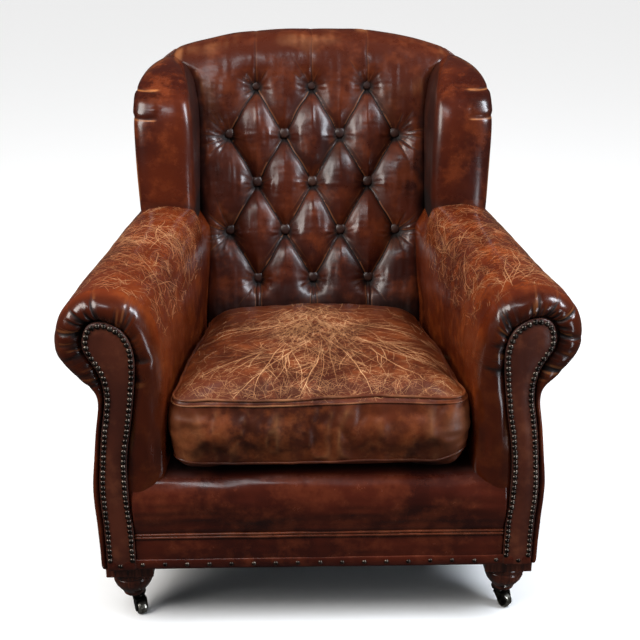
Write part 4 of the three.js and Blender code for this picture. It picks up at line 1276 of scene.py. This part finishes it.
def ribbons(name, strokes, land):
    """Lays each stroke on a cover as a hair-thin sliver. land finds the cover under a point of a stroke."""
    parts = []
    for points, width in strokes:
        hits = [land(p)[:2] for p in points]
        hits = [(np.array(place), np.array(normal)) for place, normal in hits if place is not None]
        if len(hits) < 3:
            continue
        place, normal = (np.array(column) for column in zip(*hits))
        if np.linalg.norm(np.diff(place, axis=0), axis=1).max() > CRACK_JUMP:
            continue
        along = np.gradient(place, axis=0)
        side = np.cross(normal, along)
        side /= np.maximum(np.linalg.norm(side, axis=1, keepdims=True), 1e-9)
        taper_off = np.sin(np.pi * np.linspace(0.08, 0.97, len(place))) ** 0.6
        half = (0.5 * width * MM * taper_off)[:, None]
        lifted = place + normal * CRACK_PROUD
        corners = (lifted - side * half, lifted + side * half, place - normal * CRACK_DEEP)
        verts = np.stack(corners, axis=1).reshape(-1, 3)
        faces = [(0, 1, 2), tuple(3 * len(place) - k for k in (1, 2, 3))]
        for i in range(0, 3 * (len(place) - 1), 3):
            faces += [(i, i + 3, i + 4, i + 1), (i + 1, i + 4, i + 5, i + 2), (i + 2, i + 5, i + 3, i)]
        parts.append((verts, faces))
    verts, faces = joined(parts)
    mesh = bpy.data.meshes.new(name)
    mesh.from_pydata(verts.tolist(), [], faces)
    mesh.materials.append(CRACK_LEATHER)
    piece = bpy.data.objects.new(name, mesh)
    bpy.context.scene.collection.objects.link(piece)
    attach(piece, "root")


# ---- Under and behind ----


def deck_pad():
    """The hessian deck under the cushion, dished a little between its rails."""
    low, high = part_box("seat_deck")
    u, v = np.meshgrid(np.linspace(0, 1, 40), np.linspace(0, 1, 40))
    x, y = low.x + u * (high.x - low.x), low.y + v * (high.y - low.y)
    dish = 0.0035 * np.sin(np.pi * u) * np.sin(np.pi * v)
    rim = np.concatenate([xyz(x, y, high.z - dish), xyz(x, y, low.z)[::-1]]).transpose(1, 0, 2)
    faces = ring_faces(*rim.shape[:2])
    piece = make_mesh("deck_pad", rim.reshape(-1, 3), faces, HESSIAN, "hessian")
    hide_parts("seat_deck")


OUTSIDE_BACK = [(322, 130), (318, 300), (314, 480), (330, 600), (346, 700), (357, 850), (341, 914),
                (304, 945)]
OUTSIDE_ROWS, OUTSIDE_COLUMNS = 130, 60


def outside_back():
    """The plain panel behind the back, with a welt up each side and over the top."""
    half = even(spline(OUTSIDE_BACK, 300), OUTSIDE_ROWS)
    u = np.linspace(-1, 1, OUTSIDE_COLUMNS)[None, :]
    width, height = half[:, 0][:, None], half[:, 1][:, None]
    x = width * u
    z = height + ease(900, 945, height) * 8 * (1 - np.abs(u) ** 2.2)
    edge = np.minimum((1 - np.abs(u)) * width, z - BASE_Z)
    y = back_y(z) + 12 - edge_roll(edge, 5.0) + 1.6 * noise_at(xyz(x, 0, z), 110.0, 80)
    face = xyz(x, y, z)
    # Its sides turn forward to meet the arms and wings, and it is closed in front.
    rim = [face[:, [end]] * np.array([1, 0, 1]) for end in (-1, -1, -1, 0, 0, 0)]
    for part, forward, inset in zip(rim, (-11, -11, 0.6, 0.6, -11, -11), (0, 7, 7, 7, 7, 0)):
        part[..., 1] = back_y(part[..., 2]) + forward
        part[..., 0] -= np.sign(part[..., 0]) * inset
    grid = np.concatenate([face] + rim, axis=1)
    edge = np.concatenate([edge, 0 * edge[:, :6]], axis=1)
    shade = 0.5 * ease(30, 4, edge)
    wear = 0.2 * ease(0.1, 0.8, noise_at(grid, 80.0, 81)) + 0.25 * ease(900, 950, grid[..., 2])
    marks = {"shade": shade, "wear": wear, "crack": 0.1 + 0 * wear}
    piece = ring_mesh("back_panel", grid, DARK_LEATHER, "leather", marks)
    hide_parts("outside_back")
    welt = np.concatenate([half[2:], (half * np.array([-1, 1]))[::-1][:-2]])
    line = xyz(welt[:, 0] * 0.995, back_y(welt[:, 1]) + 8.5, welt[:, 1])
    verts, faces = tube(chair_points(even(line, 260)), 3.0 * MM, sides=12)
    make_mesh("back_welt", verts, faces, DARK_LEATHER, "leather", marks={"wear": 0.3 + 0 * verts[:, 0]})


def dust_cover():
    """A tight black lining under the seat, cut round the feet."""
    low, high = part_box("dust_cover")
    foot_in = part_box("front_foot_left")[1].x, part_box("front_foot_right")[0].x
    foot_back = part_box("front_foot_left")[1].y
    leg_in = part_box("rear_leg_left")[1].x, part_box("rear_leg_right")[0].x
    leg_front = min(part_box("rear_leg_left")[0].y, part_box("rear_leg_right")[0].y)
    gap = 0.003
    xs = np.sort(np.concatenate([np.linspace(low.x, high.x, 60), [foot_in[0] + gap, foot_in[1] - gap]]))
    ys = np.sort(np.concatenate([np.linspace(low.y, high.y, 50), [foot_back + gap, leg_front - gap]]))
    verts, index, faces = [], {}, []

    def corner(i, j):
        if (i, j) not in index:
            narrow = float(taper((ys[j] - FRONT) / MM))
            sag = 0.0010 * math.sin(math.pi * i / (len(xs) - 1)) * math.sin(math.pi * j / (len(ys) - 1))
            index[i, j] = len(verts)
            verts.append((xs[i] * narrow, ys[j], low.z + 0.0015 - sag))
        return index[i, j]

    for i in range(len(xs) - 1):
        for j in range(len(ys) - 1):
            x, y = (xs[i] + xs[i + 1]) / 2, (ys[j] + ys[j + 1]) / 2
            narrow = float(taper((y - FRONT) / MM))
            at_foot = y < foot_back + gap and not foot_in[0] + gap < x * narrow < foot_in[1] - gap
            at_leg = y > leg_front - gap and not leg_in[0] + gap < x * narrow < leg_in[1] - gap
            if at_foot or at_leg:
                continue
            faces.append((corner(i, j), corner(i + 1, j), corner(i + 1, j + 1), corner(i, j + 1)))
    piece = make_mesh("lining_sheet", verts, faces, LINING, "black_lining")
    thick = piece.modifiers.new("thickness", "SOLIDIFY")
    thick.thickness = 0.0006
    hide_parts("dust_cover")


# ---- Feet and casters ----

# The turned bun, as (radius, height), from the caster socket up to the square block.
BUN_PROFILE = [(0.0, 0.0410), (0.0130, 0.0410), (0.0160, 0.0418), (0.0195, 0.0452), (0.0205, 0.0480),
               (0.0200, 0.0500), (0.0225, 0.0530), (0.0285, 0.0605), (0.0335, 0.0680), (0.0362, 0.0750),
               (0.0372, 0.0815), (0.0368, 0.0850), (0.0352, 0.0866), (0.0362, 0.0882), (0.0376, 0.0915),
               (0.0372, 0.0960), (0.0350, 0.0990), (0.0320, 0.1000), (0.0, 0.1000)]
BLOCK_BASE = 0.1002

def bun_foot(side):
    """A square block over a turned bun, tapering into the caster socket."""
    name = f"front_foot_{side}"
    low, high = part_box(name)
    cx, cy = (low.x + high.x) / 2, (low.y + high.y) / 2
    turned = lathe(even(BUN_PROFILE, 90), 72, origin=(cx, cy, 0))
    piece = make_mesh(f"bun_{side}", *turned, MAHOGANY, "mahogany")
    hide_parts(name)
    low.z = BLOCK_BASE
    bevelled_block(f"foot_block_{side}", low, high, 0.0022, MAHOGANY, "mahogany")


def bevelled_block(name, low, high, bevel, material, slot):
    (x0, y0, z0), (x1, y1, z1) = low, high
    verts = [(x, y, z) for z in (z0, z1) for x, y in ((x0, y0), (x1, y0), (x1, y1), (x0, y1))]
    faces = [(3, 2, 1, 0), (4, 5, 6, 7), (0, 1, 5, 4), (1, 2, 6, 5), (2, 3, 7, 6), (3, 0, 4, 7)]
    piece = make_mesh(name, verts, faces, material, slot, smooth=False)
    edge = piece.modifiers.new("edge", "BEVEL")
    edge.width, edge.segments = bevel, 3
    edge.harden_normals = True


def paint(nodes, material, bevel=None):
    """Shows CAD nodes as they are, in a detailed material, with softened edges where asked."""
    for name in nodes:
        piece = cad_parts[name]
        piece.data.materials.clear()
        piece.data.materials.append(material)
        if bevel:
            edge = piece.modifiers.new("edge", "BEVEL")
            edge.width, edge.segments = bevel, 2
            edge.limit_method, edge.angle_limit = "ANGLE", math.radians(35)


def hard_parts():
    both = lambda *stems: [f"{stem}_{side}" for stem in stems for side, _sign in SIDES]
    rails = ["front_rail", "rear_rail", "lower_back_rail", "crest_rail"]
    rails += both("side_rail", "front_post", "rear_post", "arm_board", "wing_board")
    paint(rails, BEECH, 0.0012)
    paint([f"seat_spring_{i}" for i in range(1, 5)], SPRING_STEEL)
    paint(both("rear_leg"), MAHOGANY, 0.002)
    paint(both("caster_socket", "caster_fork", "caster_axle"), CASTER_METAL, 0.0005)
    paint(both("caster_wheel"), WHEEL_METAL, 0.0008)


# ---- Camera, floor and light ----

CAMERA_PLACE = (-0.047, -2.19535, 1.316)
CAMERA_PITCH, CAMERA_YAW = 21.5, 1.5  # degrees down, and turned towards +X
CAMERA_LENS = 64.2
COOL = (0.84, 0.91, 1.0)


def camera():
    data = bpy.data.cameras.new("camera")
    data.lens, data.sensor_width = CAMERA_LENS, 36
    data.shift_y = 0.004
    eye = bpy.data.objects.new("camera", data)
    eye.location = CAMERA_PLACE
    eye.rotation_euler = (math.radians(90 - CAMERA_PITCH), 0, math.radians(-CAMERA_YAW))
    bpy.context.scene.collection.objects.link(eye)
    bpy.context.scene.camera = eye


def floor():
    reach = 30
    mesh = bpy.data.meshes.new("floor")
    corners = [(-reach, -reach, 0), (reach, -reach, 0), (reach, reach, 0), (-reach, reach, 0)]
    mesh.from_pydata(corners, [], [(0, 1, 2, 3)])
    ground = bpy.data.objects.new("floor", mesh)
    n = Nodes("floor")
    n.finish((0.93, 0.93, 0.93, 1), 0.75, None)
    mesh.materials.append(n.material)
    bpy.context.scene.collection.objects.link(ground)
    ground.visible_diffuse = ground.visible_glossy = False


def lamp(name, place, aim, size, watts, colour):
    data = bpy.data.lights.new(name, "AREA")
    data.shape = "RECTANGLE"
    data.size, data.size_y = size
    data.energy, data.color = watts, colour
    light = bpy.data.objects.new(name, data)
    light.location = place
    light.rotation_euler = (Vector(aim) - Vector(place)).to_track_quat("-Z", "Y").to_euler()
    bpy.context.scene.collection.objects.link(light)


def studio():
    """White surroundings that light the chair only faintly, and large soft lamps that do the rest."""
    world = bpy.data.worlds.new("studio")
    world.use_nodes = True
    tree = world.node_tree
    background = tree.nodes["Background"]
    background.inputs["Color"].default_value = (1.0, 1.0, 1.0, 1)
    seen = tree.nodes.new("ShaderNodeLightPath").outputs["Is Camera Ray"]
    strength = tree.nodes.new("ShaderNodeMapRange")
    tree.links.new(seen, strength.inputs["Value"])
    strength.inputs["To Min"].default_value = 0.05
    strength.inputs["To Max"].default_value = 1.0
    tree.links.new(strength.outputs[0], background.inputs["Strength"])
    bpy.context.scene.world = world
    bpy.context.scene.view_settings.view_transform = "Standard"
    aim = (0, 0.05, 0.5)
    lamp("left_window", (-2.3, -1.3, 2.2), aim, (1.3, 1.7), 72, (1.0, 0.97, 0.93))
    lamp("right_window", (2.1, -0.9, 2.3), aim, (0.65, 1.5), 72, COOL)
    lamp("floor_glow", (1.25, -1.35, 0.2), (-0.3, -0.3, 0.4), (0.3, 0.7), 5, COOL)
    lamp("high_window", (-0.7, -1.75, 2.5), aim, (1.0, 0.35), 8, (0.92, 0.95, 1.0))
    sky = bpy.data.lights.new("sky", "SUN")
    sky.energy, sky.angle = 2.95, math.radians(80)
    light = bpy.data.objects.new("sky", sky)
    light.rotation_euler = (math.radians(-8), 0, 0)
    light.visible_glossy = False
    bpy.context.scene.collection.objects.link(light)


tufted_back()
buttons()
for side, sign in SIDES:
    arm_cracks(side, sign, arm_cover(side, sign))
    arm_facing(side, sign)
    wing_cover(side, sign)
    bun_foot(side)
seat_front()
seat_cushion()
deck_pad()
outside_back()
dust_cover()
hard_parts()
camera()
floor()
studio()
